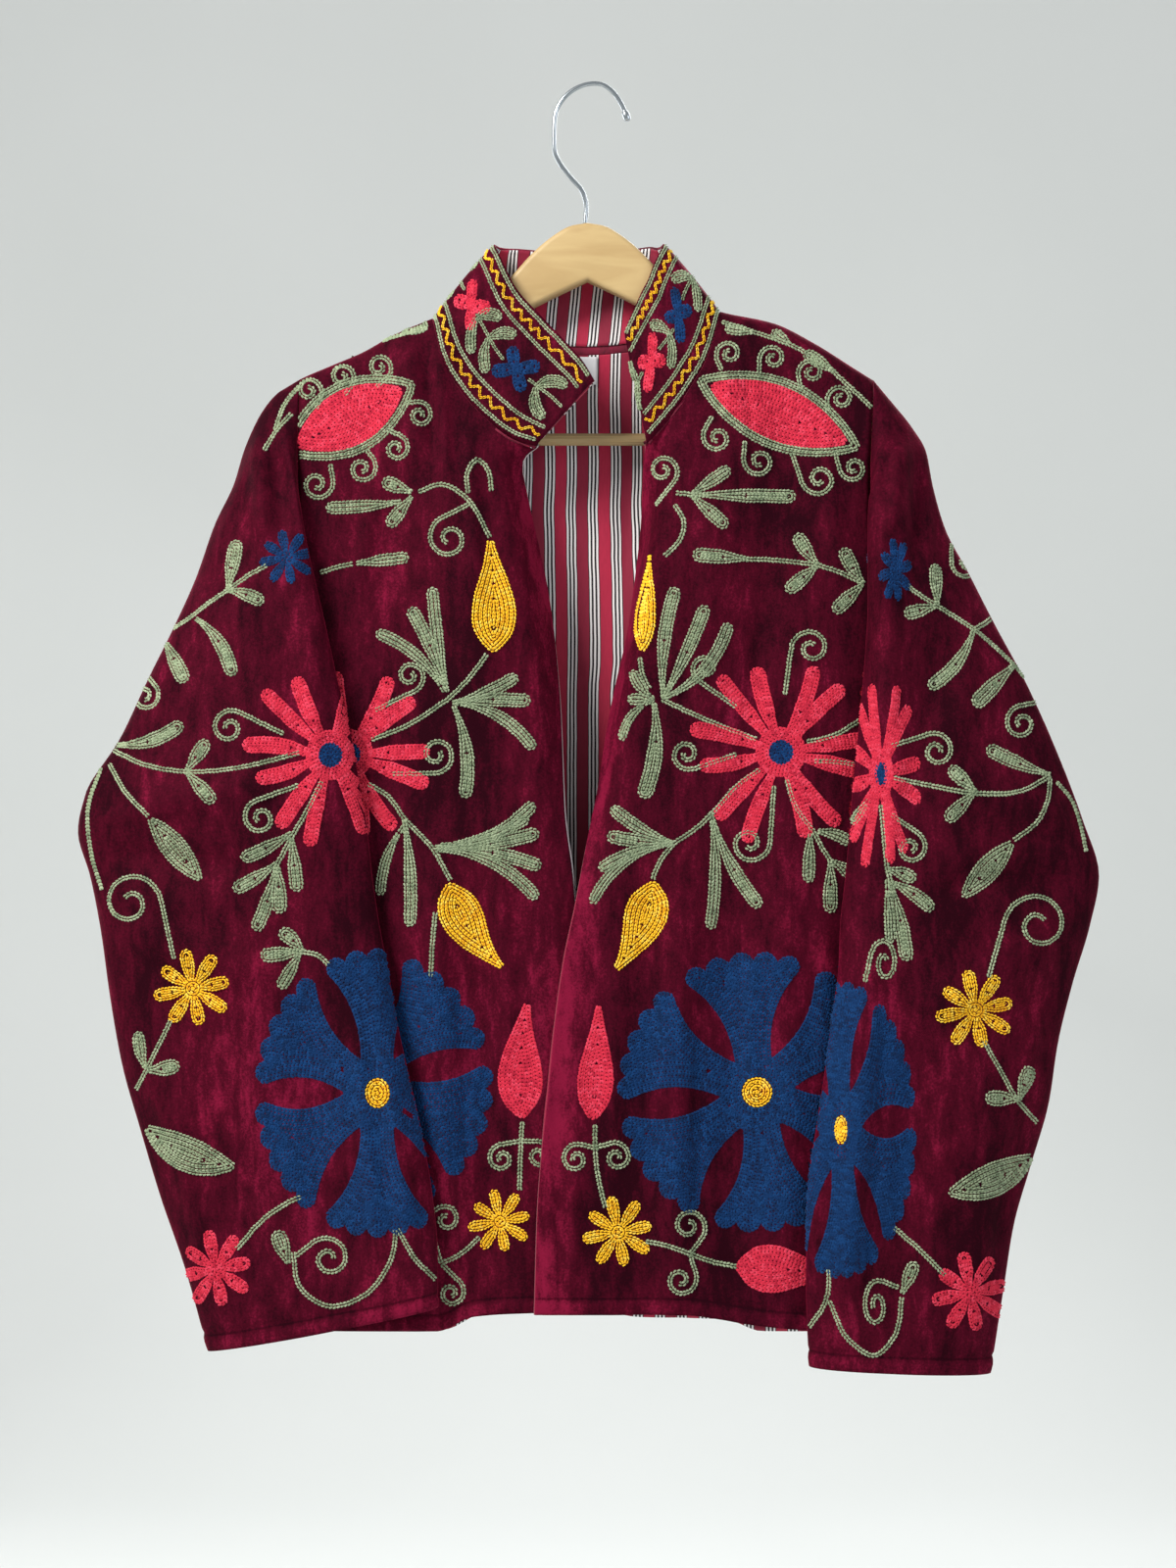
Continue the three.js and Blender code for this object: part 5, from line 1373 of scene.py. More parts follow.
def shell(name, outer, inner, materials, cut, ring=False, lips=None):
    """A closed wall of cloth between two grids: outer face, inner face and turned rims.

    materials are the outer face's, the inner face's and the rims'. lips are points that stand
    past the last column, where the lining shows as a fine piping.
    """
    rows, cols = outer.shape[:2]
    total = rows * cols
    points = [outer.reshape(-1, 3), inner.reshape(-1, 3)]
    probe = np.cross(outer[rows // 2, cols // 2 + 1] - outer[rows // 2, cols // 2],
                     outer[rows // 2 + 1, cols // 2] - outer[rows // 2, cols // 2])
    turn = probe @ (outer[rows // 2, cols // 2] - inner[rows // 2, cols // 2]) < 0
    faces = [grid_faces(rows, cols, ring, 0, turn), grid_faces(rows, cols, ring, total, not turn)]
    tree = Surface(outer, ring).tree
    near = [tree.find_nearest(p)[3] for p in inner.reshape(-1, 3)]
    pinched = np.array(near) < 0.8 * np.linalg.norm(outer - inner, axis=2).ravel()
    index = [np.zeros(len(faces[0])), np.where(pinched[faces[1] - total].any(axis=1), 2, 1)]

    def strip(first, second, flip, material):
        a, b = np.asarray(first), np.asarray(second)
        quads = np.stack([a[:-1], a[1:], b[1:], b[:-1]], axis=1)
        faces.append(quads[:, ::-1] if flip != turn else quads)
        index.append(np.full(len(quads), material))

    top = np.arange(cols)
    low = top + (rows - 1) * cols
    if ring:
        top, low = np.append(top, 0), np.append(low, low[0])
    strip(top, top + total, True, 2)
    strip(low, low + total, False, 2)
    if not ring:
        first = np.arange(rows) * cols
        last = first + cols - 1
        strip(first, first + total, False, 2)
        if lips is None:
            strip(last, last + total, True, 2)
        else:
            points.append(lips)
            bead = 2 * total + np.arange(rows)
            strip(last, bead, True, 1)
            strip(bead, last + total, True, 1)
    obj = mesh_object(name, np.concatenate(points), np.concatenate(faces), materials, np.concatenate(index))
    flat = cut.reshape(-1, 2)
    per_point = np.concatenate([flat, flat] + ([cut[:, -1] - [2, 0]] if lips is not None else []))
    layer = obj.data.uv_layers.new(name="Cut")
    corners = np.empty(len(obj.data.loops), np.int32)
    obj.data.loops.foreach_get("vertex_index", corners)
    layer.data.foreach_set("uv", (per_point[corners] * MM).astype(np.float32).ravel())
    return obj


def add_piece(obj, *replaced, slot=None):
    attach(obj, "root")
    if replaced:
        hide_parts(*replaced)
    return obj


# Materials
class Nodes:
    """Short calls for making shader nodes."""

    def __init__(self, tree):
        self.tree = tree

    def add(self, kind, **settings):
        node = self.tree.nodes.new(kind)
        for key, value in settings.items():
            setattr(node, key, value)
        return node

    def plug(self, socket, value):
        if isinstance(value, bpy.types.NodeSocket):
            self.tree.links.new(value, socket)
        else:
            socket.default_value = value

    def maths(self, operation, a, b=0.0, c=0.0):
        node = self.add("ShaderNodeMath", operation=operation)
        for socket, value in zip(node.inputs, (a, b, c)):
            self.plug(socket, value)
        return node.outputs[0]

    def blend(self, factor, a, b, kind="MIX"):
        node = self.add("ShaderNodeMix", data_type="RGBA", blend_type=kind)
        self.plug(node.inputs[0], factor)
        self.plug(node.inputs[6], a)
        self.plug(node.inputs[7], b)
        return node.outputs[2]

    def noise(self, vector, scale, detail=2.0, roughness=0.5, distortion=0.0):
        node = self.add("ShaderNodeTexNoise")
        self.plug(node.inputs["Vector"], vector)
        values = {"Scale": scale, "Detail": detail, "Roughness": roughness, "Distortion": distortion}
        for key, value in values.items():
            self.plug(node.inputs[key], value)
        return node.outputs["Fac"]

    def stretch(self, vector, scale):
        node = self.add("ShaderNodeMapping")
        self.plug(node.inputs["Vector"], vector)
        node.inputs["Scale"].default_value = scale
        return node.outputs[0]

    def ramp(self, value, low, high):
        node = self.add("ShaderNodeMapRange", interpolation_type="SMOOTHSTEP")
        self.plug(node.inputs["Value"], value)
        node.inputs["From Min"].default_value = low
        node.inputs["From Max"].default_value = high
        return node.outputs[0]


def linear(colour):
    """A colour given as 0 to 255 screen values, for a shader."""
    def one(v):
        v = v / 255
        return v / 12.92 if v <= 0.04045 else ((v + 0.055) / 1.055) ** 2.4
    return (*(one(v) for v in colour), 1.0)


def group(name, inputs, outputs):
    """A node group with named sockets, made once."""
    tree = bpy.data.node_groups.new(name, "ShaderNodeTree")
    for label, kind, value in inputs:
        socket = tree.interface.new_socket(label, in_out="INPUT", socket_type=kind)
        if value is not None:
            socket.default_value = value
    for label, kind in outputs:
        tree.interface.new_socket(label, in_out="OUTPUT", socket_type=kind)
    n = Nodes(tree)
    return tree, n, n.add("NodeGroupInput"), n.add("NodeGroupOutput")


def pile_group():
    """Cut pile: which way the nap lies, in broad and small patches, and its fine roughness, with painted
    light added: a painted highlight along a panel's last edge, painted shade in the line of stitches above
    the hem and a painted highlight on the turned strip below it.
    """
    if "Pile" in bpy.data.node_groups:
        return bpy.data.node_groups["Pile"]
    tree, n, into, out = group(
        "Pile",
        [("Patch", "NodeSocketFloat", 14.0), ("Crush", "NodeSocketFloat", 70.0),
         ("Edge highlight", "NodeSocketFloat", 0.0), ("Hem shade and highlight", "NodeSocketFloat", 0.0)],
        [("Nap with painted light", "NodeSocketFloat"), ("Height", "NodeSocketFloat")])
    place = n.add("ShaderNodeTexCoord").outputs["Object"]
    streaks = n.stretch(place, (1.0, 1.0, 0.34))
    broad = n.noise(streaks, into.outputs["Patch"], 3.0, 0.6, 0.25)
    small = n.noise(streaks, into.outputs["Crush"], 4.0, 0.68, 0.3)
    fine = n.noise(place, 700.0, 2.0, 0.6)
    nap = n.maths("MULTIPLY_ADD", broad, 0.42, n.maths("MULTIPLY", fine, 0.2))
    nap = n.maths("MULTIPLY_ADD", small, 0.4, nap)
    cut = n.add("ShaderNodeSeparateXYZ")
    n.plug(cut.inputs[0], n.add("ShaderNodeUVMap", uv_map="Cut").outputs[0])
    # Painted highlight: the nap is lighter in a band 4 to 40 mm from the panel's last edge
    edge = n.maths("SUBTRACT", 1.0, n.ramp(cut.outputs[0], 0.004, 0.04))
    edge = n.maths("MULTIPLY", edge, into.outputs["Edge highlight"])
    # Painted shade: a darker line 10.5 mm above the hem, in the groove of the stitches
    seam = n.maths("ABSOLUTE", n.maths("SUBTRACT", cut.outputs[1], 0.0105))
    seam = n.maths("MULTIPLY", n.maths("SUBTRACT", seam, 0.0012), -60.0)
    seam = n.maths("MULTIPLY", n.maths("MAXIMUM", seam, 0.0), into.outputs["Hem shade and highlight"])
    # Painted highlight: the turned strip below the hem's stitches is a little lighter
    turned = n.maths("SUBTRACT", 1.0, n.ramp(cut.outputs[1], 0.006, 0.011))
    turned = n.maths("MULTIPLY", turned, into.outputs["Hem shade and highlight"])
    nap = n.maths("SUBTRACT", n.maths("MULTIPLY_ADD", turned, 0.045, n.maths("ADD", nap, edge)), seam)
    n.plug(out.inputs["Nap with painted light"], nap)
    n.plug(out.inputs["Height"], n.maths("MULTIPLY_ADD", small, 0.5, fine))
    return tree


def stripe_group():
    """Woven stripes: bands of two reds, parted by groups of three white lines on black."""
    if "Stripes" in bpy.data.node_groups:
        return bpy.data.node_groups["Stripes"]
    tree, n, into, out = group(
        "Stripes",
        [("Pitch", "NodeSocketFloat", 0.0148), ("Start", "NodeSocketFloat", 0.0)],
        [("Band", "NodeSocketFloat"), ("Dark", "NodeSocketFloat"), ("White", "NodeSocketFloat"),
         ("Weave", "NodeSocketFloat")])
    cut = n.add("ShaderNodeUVMap", uv_map="Cut").outputs[0]
    split = n.add("ShaderNodeSeparateXYZ")
    n.plug(split.inputs[0], cut)
    wobble = n.maths("MULTIPLY", n.maths("SUBTRACT", n.noise(cut, 60.0, 2.0), 0.5), 0.0006)
    across = n.maths("ADD", n.maths("SUBTRACT", split.outputs[0], into.outputs["Start"]), wobble)
    turns = n.maths("DIVIDE", across, into.outputs["Pitch"])
    centre = n.maths("ROUND", turns)
    off = n.maths("MULTIPLY", n.maths("ABSOLUTE", n.maths("SUBTRACT", turns, centre)), into.outputs["Pitch"])
    band = n.maths("MODULO", n.maths("ABSOLUTE", n.maths("FLOOR", turns)), 2.0)
    inner = n.maths("LESS_THAN", off, 0.00062)
    outer = n.maths("LESS_THAN", n.maths("ABSOLUTE", n.maths("SUBTRACT", off, 0.0025)), 0.00062)
    n.plug(out.inputs["Band"], band)
    n.plug(out.inputs["Dark"], n.maths("LESS_THAN", off, 0.0037))
    n.plug(out.inputs["White"], n.maths("MAXIMUM", inner, outer))
    warp = n.maths("SINE", n.maths("MULTIPLY", split.outputs[0], 9000.0))
    weft = n.maths("SINE", n.maths("MULTIPLY", split.outputs[1], 7500.0))
    n.plug(out.inputs["Weave"], n.maths("MULTIPLY", warp, weft))
    return tree


def opaque(*colours):
    """Linear colours with their fourth value, for a shader."""
    return [tuple(c) + (1.0,) for c in colours]


def principled(name, **values):
    material = bpy.data.materials.new(name)
    material.use_nodes = True
    shader = material.node_tree.nodes["Principled BSDF"]
    for key, value in values.items():
        shader.inputs[key.replace("_", " ")].default_value = value
    return material, Nodes(material.node_tree), shader


def bump(n, shader, height, strength, distance):
    node = n.add("ShaderNodeBump")
    node.inputs["Strength"].default_value = strength
    node.inputs["Distance"].default_value = distance
    n.plug(node.inputs["Height"], height)
    n.plug(shader.inputs["Normal"], node.outputs[0])


def velvet_material(colours, name, edge=0.0, hem=1.0):
    """Crushed velvet: edge sets a painted highlight along a panel's last edge; hem sets painted shade in the
    line of stitches above the hem and a painted highlight on the turned strip below it.
    """
    if name in bpy.data.materials:
        return bpy.data.materials[name]
    material, n, shader = principled(name, Roughness=0.8, Sheen_Weight=0.42, Sheen_Roughness=0.3)
    shader.inputs["Sheen Tint"].default_value = linear((216, 42, 88))
    shader.inputs["Specular IOR Level"].default_value = 0.05
    pile = n.add("ShaderNodeGroup", node_tree=pile_group())
    pile.inputs["Patch"].default_value = 15.0
    pile.inputs["Crush"].default_value = 110.0
    pile.inputs["Edge highlight"].default_value = edge
    pile.inputs["Hem shade and highlight"].default_value = hem
    nap = pile.outputs["Nap with painted light"]
    # The three tones follow the pile's random nap patches; the light tone also carries the painted highlight
    # by the front edges and turned hems, and the hem's line of stitches gets painted shade.
    dark, mid, light = opaque(colours.velvet_dark, colours.velvet, colours.velvet_brushed_and_highlight)
    base = n.blend(n.ramp(nap, 0.40, 0.56), dark, mid)
    n.plug(shader.inputs["Base Color"], n.blend(n.ramp(nap, 0.53, 0.69), base, light))
    n.plug(shader.inputs["Roughness"], n.maths("MULTIPLY_ADD", nap, -0.2, 0.92))
    bump(n, shader, pile.outputs["Height"], 0.35, 0.0006)
    return material


def lining_material(colours, name, start):
    """Striped cotton, its stripes moved across the cloth by start."""
    if name in bpy.data.materials:
        return bpy.data.materials[name]
    material, n, shader = principled(name, Roughness=0.62, Sheen_Weight=0.15)
    shader.inputs["Specular IOR Level"].default_value = 0.3
    stripes = n.add("ShaderNodeGroup", node_tree=stripe_group())
    stripes.inputs["Pitch"].default_value = 0.0148
    stripes.inputs["Start"].default_value = start
    first, second = opaque(colours.lining_bright, colours.lining_deep)
    place = n.add("ShaderNodeTexCoord").outputs["Object"]
    slub = n.noise(n.stretch(place, (6.0, 6.0, 1.0)), 150.0, 3.0)
    band = n.blend(stripes.outputs["Band"], first, second)
    red = n.blend(n.maths("MULTIPLY", slub, 0.4), band, linear((96, 14, 40)))
    dark = n.blend(stripes.outputs["Dark"], red, linear((24, 12, 22)))
    n.plug(shader.inputs["Base Color"], n.blend(stripes.outputs["White"], dark, linear((238, 234, 234))))
    n.plug(shader.inputs["Roughness"], n.maths("MULTIPLY_ADD", slub, 0.2, 0.5))
    bump(n, shader, n.maths("MULTIPLY_ADD", stripes.outputs["Weave"], 0.5, slub), 0.25, 0.0002)
    return material


def rim_highlight_material(colours):
    """The turned edge of the velvet, painted a little lighter than the panels as a painted highlight on the
    rims.
    """
    if "velvet_edge_highlight" in bpy.data.materials:
        return bpy.data.materials["velvet_edge_highlight"]
    material, n, shader = principled("velvet_edge_highlight", Roughness=0.9, Sheen_Weight=0.15, Sheen_Roughness=0.5)
    shader.inputs["Sheen Tint"].default_value = linear((216, 52, 94))
    pile = n.add("ShaderNodeGroup", node_tree=pile_group())
    pile.inputs["Patch"].default_value = 40.0
    pile.inputs["Crush"].default_value = 200.0
    # Painted highlight: the rims blend only between the mid and light tones, never the dark one.
    mid, light = opaque(colours.velvet, colours.velvet_brushed_and_highlight)
    n.plug(shader.inputs["Base Color"], n.blend(n.ramp(pile.outputs["Nap with painted light"], 0.4, 0.6), mid, light))
    bump(n, shader, pile.outputs["Height"], 0.4, 0.0005)
    return material


THREADS = {
    GREEN: ((146, 160, 128), (162, 176, 144), (124, 139, 110)),
    RED: ((200, 42, 66), (212, 58, 82), (178, 31, 56)),
    YELLOW: ((250, 198, 42), (254, 214, 76), (236, 176, 32)),
    BLUE: ((0, 44, 90), (4, 54, 104), (0, 34, 74)),
}


def thread_materials(colour):
    """Three tones of one woollen thread."""
    tones = []
    for label, shade in zip(("mid", "light", "deep"), THREADS[colour]):
        name = f"thread_{colour}_{label}"
        if name not in bpy.data.materials:
            _, _, shader = principled(name, Roughness=0.75, Sheen_Weight=0.06, Sheen_Roughness=0.5)
            shader.inputs["Base Color"].default_value = linear(shade)
            shader.inputs["Specular IOR Level"].default_value = 0.15
        tones.append(bpy.data.materials[name])
    return tones


def wood_material(name, stretch, shade=1.0):
    material, n, shader = principled(name, Roughness=0.42)
    shader.inputs["Specular IOR Level"].default_value = 0.4
    place = n.stretch(n.add("ShaderNodeTexCoord").outputs["Object"], stretch)
    grain = n.noise(place, 40.0, 4.0, 0.6, 0.8)
    fine = n.noise(place, 220.0, 3.0, 0.6)
    pale = linear(tuple(v * shade for v in (192, 165, 116)))
    deep = linear(tuple(v * shade for v in (180, 151, 103)))
    shown = n.blend(n.ramp(grain, 0.36, 0.68), pale, deep)
    streak = n.maths("MULTIPLY", n.ramp(fine, 0.55, 0.75), 0.35)
    n.plug(shader.inputs["Base Color"], n.blend(streak, shown, deep))
    n.plug(shader.inputs["Roughness"], n.maths("MULTIPLY_ADD", fine, 0.2, 0.34))
    bump(n, shader, fine, 0.15, 0.0002)
    return material


def wire_material():
    material, n, shader = principled("plated_wire", Metallic=1.0, Roughness=0.2)
    place = n.add("ShaderNodeTexCoord").outputs["Object"]
    marks = n.noise(n.stretch(place, (1.0, 1.0, 0.2)), 300.0, 3.0)
    n.plug(shader.inputs["Base Color"], n.blend(marks, linear((196, 202, 206)), linear((150, 158, 164))))
    n.plug(shader.inputs["Roughness"], n.maths("MULTIPLY_ADD", marks, 0.22, 0.12))
    return material


def tape_material():
    material, n, shader = principled("woven_tape", Roughness=0.6, Sheen_Weight=0.1)
    place = n.add("ShaderNodeTexCoord").outputs["Object"]
    weave = n.noise(n.stretch(place, (1.0, 1.0, 6.0)), 700.0)
    n.plug(shader.inputs["Base Color"], n.blend(weave, linear((228, 228, 230)), linear((206, 206, 210))))
    bump(n, shader, weave, 0.2, 0.0001)
    return material


# Settings
def size_setting(name, description, default):
    return FloatProperty(name=name, description=description, default=default, min=0, unit="LENGTH")


def colour_setting(name, description, shade):
    return FloatVectorProperty(name=name, description=description, subtype="COLOR", size=3,
                               default=linear(shade)[:3], min=0, max=1)


class JacketSizes(bpy.types.PropertyGroup):
    """Sizes of the cloth and its stitches."""
    wall: size_setting("Wall", "Velvet and lining together", 0.0022)
    velvet: size_setting("Velvet", "Thickness of the velvet alone", 0.0014)
    cotton: size_setting("Cotton", "Thickness of the striped lining alone", 0.001)
    piping: size_setting("Piping", "How far the lining shows past the front edges", 0.0015)
    stitch_pitch: size_setting("Stitch pitch", "Length of one chain stitch", 0.0024)
    row_space: size_setting("Row spacing", "Distance between rows of stitches in a filled motif", 0.0029)
    vine_width: size_setting("Vine width", "Width of a single row that makes a stem or a curl", 0.0038)
    stitch_height: size_setting("Stitch height", "How far the thread stands off the velvet", 0.0013)
    wire: size_setting("Hook wire", "Radius of the hanger's hook wire", 0.0015)
    view_length: FloatProperty(name="Lens", description="Focal length of the camera", default=61.5,
                               unit="CAMERA")


class JacketColours(bpy.types.PropertyGroup):
    """Colours of the cloth."""
    velvet_dark: colour_setting("Velvet, against the nap", "The velvet at its darkest", (36, 1, 12))
    velvet: colour_setting("Velvet", "The velvet's usual colour", (70, 4, 25))
    # The light tone: the velvet where the pile is brushed, and also the painted highlight of the front edges,
    # the turned hems and the rims.
    velvet_brushed_and_highlight: colour_setting("Velvet, with the nap", "The velvet where the pile is brushed",
                                 (124, 18, 50))
    lining_bright: colour_setting("Lining, bright band", "The brighter red of the stripes", (188, 30, 68))
    lining_deep: colour_setting("Lining, deep band", "The deeper red of the stripes", (148, 22, 56))


def settings():
    return bpy.context.scene.jacket_sizes, bpy.context.scene.jacket_colours


FRONT_LINING_START = {-1: 0.0012, 1: 0.0062}
# How strongly the painted highlight lightens the velvet along each front's edge
EDGE_HIGHLIGHT = {-1: 0.07, 1: 0.14}
PIPING_SHARE = {-1: 1, 1: 0.7}


class JACKET_OT_fronts(bpy.types.Operator):
    """Builds the two fronts, velvet outside and striped lining inside, with their rolled edges."""
    bl_idname = "jacket.fronts"
    bl_label = "Fronts"

    def execute(self, context):
        sizes, colours = settings()
        for side, name in ((-1, "front_right"), (1, "front_left")):
            grid = front_grid(side)
            norm = normals(grid, (0, 1, 0))
            inner = drawn_in(grid + norm * (sizes.wall / MM))
            way = grid[:, -1] - grid[:, -2]
            way /= np.linalg.norm(way, axis=1, keepdims=True)
            lips = (grid[:, -1] + inner[:, -1]) / 2 + way * (sizes.piping / MM * PIPING_SHARE[side])
            cut = cut_lengths(grid, "last")
            lining = lining_material(colours, f"lining_{name}", FRONT_LINING_START[side])
            velvet = velvet_material(colours, f"velvet_{name}", EDGE_HIGHLIGHT[side])
            obj = shell(f"{name}_cloth", grid, inner, [velvet, lining, rim_highlight_material(colours)], cut, lips=lips)
            add_piece(obj, name, slot="velvet")
            SURFACES[name] = Surface(grid)
        return {"FINISHED"}


class JACKET_OT_back(bpy.types.Operator):
    """Builds the back's velvet and its striped lining, two cloths one inside the other."""
    bl_idname = "jacket.back"
    bl_label = "Back and lining"

    def execute(self, context):
        sizes, colours = settings()
        grid = back_grid()
        norm = normals(grid, (0, -1, 0))
        velvet, cotton = sizes.velvet / MM, sizes.cotton / MM
        lining = lining_material(colours, "lining_back", 0.0026)
        rim = rim_highlight_material(colours)
        cut = cut_lengths(grid, by_x=True)
        pile = velvet_material(colours, "velvet_body")
        outer = shell("back_velvet", grid, grid + norm * velvet, [pile, rim, rim], cut)
        add_piece(outer, "back", slot="velvet")
        face = middle_rows(drawn_in(grid + norm * (velvet + PLY_GAP)), 0.03, 1)
        inside = middle_rows(drawn_in(grid + norm * (velvet + PLY_GAP + cotton)), 0.03, 1)
        inner = shell("back_striped_lining", face, inside, [lining, lining, lining], cut)
        add_piece(inner, "back_lining", slot="striped_cotton")
        SURFACES["back"] = Surface(grid)
        return {"FINISHED"}


class JACKET_OT_label(bpy.types.Operator):
    """Builds the blank tape label sewn inside the back neck."""
    bl_idname = "jacket.label"
    bl_label = "Neck label"

    def execute(self, context):
        low, high = (Vector(c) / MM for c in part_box("neck_label"))
        xs, zs = np.linspace(low.x, high.x, 10), np.linspace(high.z, low.z, 12)
        x, z = np.meshgrid(xs, zs)
        y = back_y(x, z) - (1.4 + PLY_GAP + 1.0 + 0.6)
        curl = 0.35 * np.exp(-((z - low.z) / 3) ** 2)
        face = np.stack([x, y - 0.7 - curl, z], axis=-1)
        behind = np.stack([x, y - curl, z], axis=-1)
        tape = tape_material()
        obj = shell("neck_label_tape", face, behind, [tape, tape, tape], cut_lengths(face))
        add_piece(obj, "neck_label", slot="label_tape")
        return {"FINISHED"}


class JACKET_OT_collar(bpy.types.Operator):
    """Builds the stand collar's velvet and its striped lining."""
    bl_idname = "jacket.collar"
    bl_label = "Collar"

    def execute(self, context):
        sizes, colours = settings()
        grid = collar_grid()
        below = grid[0] - grid[1]
        grid[0] += 2.5 * below / np.linalg.norm(below, axis=1, keepdims=True)
        norm = normals(grid, (0, -1, 0))
        velvet, cotton = sizes.velvet / MM, sizes.cotton / MM
        rim = rim_highlight_material(colours)
        lining = lining_material(colours, "lining_collar", 0.0026)
        cut = cut_lengths(grid, "middle")
        pile = velvet_material(colours, "velvet_collar", hem=0.0)
        outer = shell("collar_velvet", grid, grid + norm * velvet, [pile, rim, rim], cut)
        add_piece(outer, "collar", slot="velvet")
        face = middle_rows(grid + norm * (velvet + PLY_GAP), 0.045, 0.985)
        inside = middle_rows(grid + norm * (velvet + PLY_GAP + cotton), 0.045, 0.985)
        inner = shell("collar_striped_lining", face, inside, [lining, lining, lining], cut)
        add_piece(inner, "collar_lining", slot="striped_cotton")
        SURFACES["collar"] = Surface(grid)
        return {"FINISHED"}


class JACKET_OT_sleeves(bpy.types.Operator):
    """Builds the two sleeves, folded forward over the fronts as they hang."""
    bl_idname = "jacket.sleeves"
    bl_label = "Sleeves"

    def execute(self, context):
        sizes, colours = settings()
        for side, name in ((-1, "sleeve_right"), (1, "sleeve_left")):
            grid = sleeve_grid(side)
            inner = grid + sleeve_normals(grid) * (sizes.wall / MM)
            lining = lining_material(colours, "lining_sleeves", 0.0)
            velvet = velvet_material(colours, "velvet_body")
            obj = shell(f"{name}_cloth", grid, inner, [velvet, lining, rim_highlight_material(colours)],
                        cut_lengths(grid), ring=True)
            self.bind_head(obj, grid)
            add_piece(obj, name, slot="velvet")
            SURFACES[name] = Surface(grid, ring=True)
        return {"FINISHED"}

    def bind_head(self, obj, grid):
        """Covers the inside of the armhole seam with velvet."""
        rows, cols = grid.shape[:2]
        index = np.empty(len(obj.data.polygons), np.int32)
        obj.data.polygons.foreach_get("material_index", index)
        first = (rows - 1) * cols
        index[first:first + counted(12) * cols] = 2
        obj.data.polygons.foreach_set("material_index", index)


# Collar embroidery, in millimetres from the viewer's left front edge along the seam, and up
COLLAR_BORDERS = (
    (0.04, "green"), (0.125, "zigzag"), (0.21, "green"), (0.79, "green"), (0.875, "zigzag"), (0.96, "green"),
)
COLLAR_FLOWERS = ((BLUE, 43), (RED, 104), (BLUE, 158), (RED, 209), (BLUE, 260), (BLUE, 312), (RED, 362))
COLLAR_SPRIGS = (16, 68, 86, 131, 183, 234, 286, 338, 390)


def parts_outside(points, ovals):
    """The parts of a run that lie outside ovals given by centre and half sizes."""
    clear = np.ones(len(points), bool)
    for x, z, wide, tall in ovals:
        clear &= ((points[:, 0] - x) / wide) ** 2 + ((points[:, 1] - z) / tall) ** 2 > 1
    spots_left = np.flatnonzero(clear)
    if not len(spots_left):
        return []
    parts = np.split(spots_left, np.flatnonzero(np.diff(spots_left) > 1) + 1)
    return [points[part] for part in parts if len(part) > 3]


def collar_runs(sizes, long, high):
    """Stitched runs on the collar as (colour, points across and up in fractions, width)."""
    runs = []
    space = sizes.row_space / MM

    def lay(colour, points, width):
        runs.append((colour, points / (long, high), width))

    across = np.linspace(3, long - 3, int(long / 1.2))
    for up, kind in COLLAR_BORDERS:
        if kind == "green":
            lay(GREEN, np.stack([across, np.full_like(across, up * high)], axis=1), space * 1.05)
        else:
            teeth = np.abs((across / 5.8 + 0.16 * np.sin(across / 9)) % 2 - 1) * 6 - 3
            lay(YELLOW, np.stack([across, up * high + teeth], axis=1), space * 0.72)
    middle = 0.5 * high
    wave = np.stack([across, middle + 1.5 * np.sin(across / 11)], axis=1)
    for part in parts_outside(wave, [(at, middle, 12, 40) for _, at in COLLAR_FLOWERS]):
        lay(GREEN, part, space * 0.9)
    for colour, at in COLLAR_FLOWERS:
        for i in range(4):
            angle = math.radians(38 + 90 * i + (12 if i % 2 else -8))
            reach = 18.5 if i % 2 else 16
            tip = (at + reach * math.cos(angle), middle + reach * math.sin(angle))
            for row in rows_along((at, middle), tip, 9, "petal", space):
                lay(colour, row, space * 1.15)
    for i, at in enumerate(COLLAR_SPRIGS):
        lean = 1 if at > long / 2 else -1
        for up in (1, -1):
            tip = (at + lean * 9, middle + up * 15)
            for row in rows_along((at - lean * 7, middle), tip, 8.6, "petal", space, 0.14 * up * lean):
                lay(GREEN, row, space * 1.1)
    return runs


ZONE_NAMES = ("front_right", "front_left", "sleeve_right", "sleeve_left")


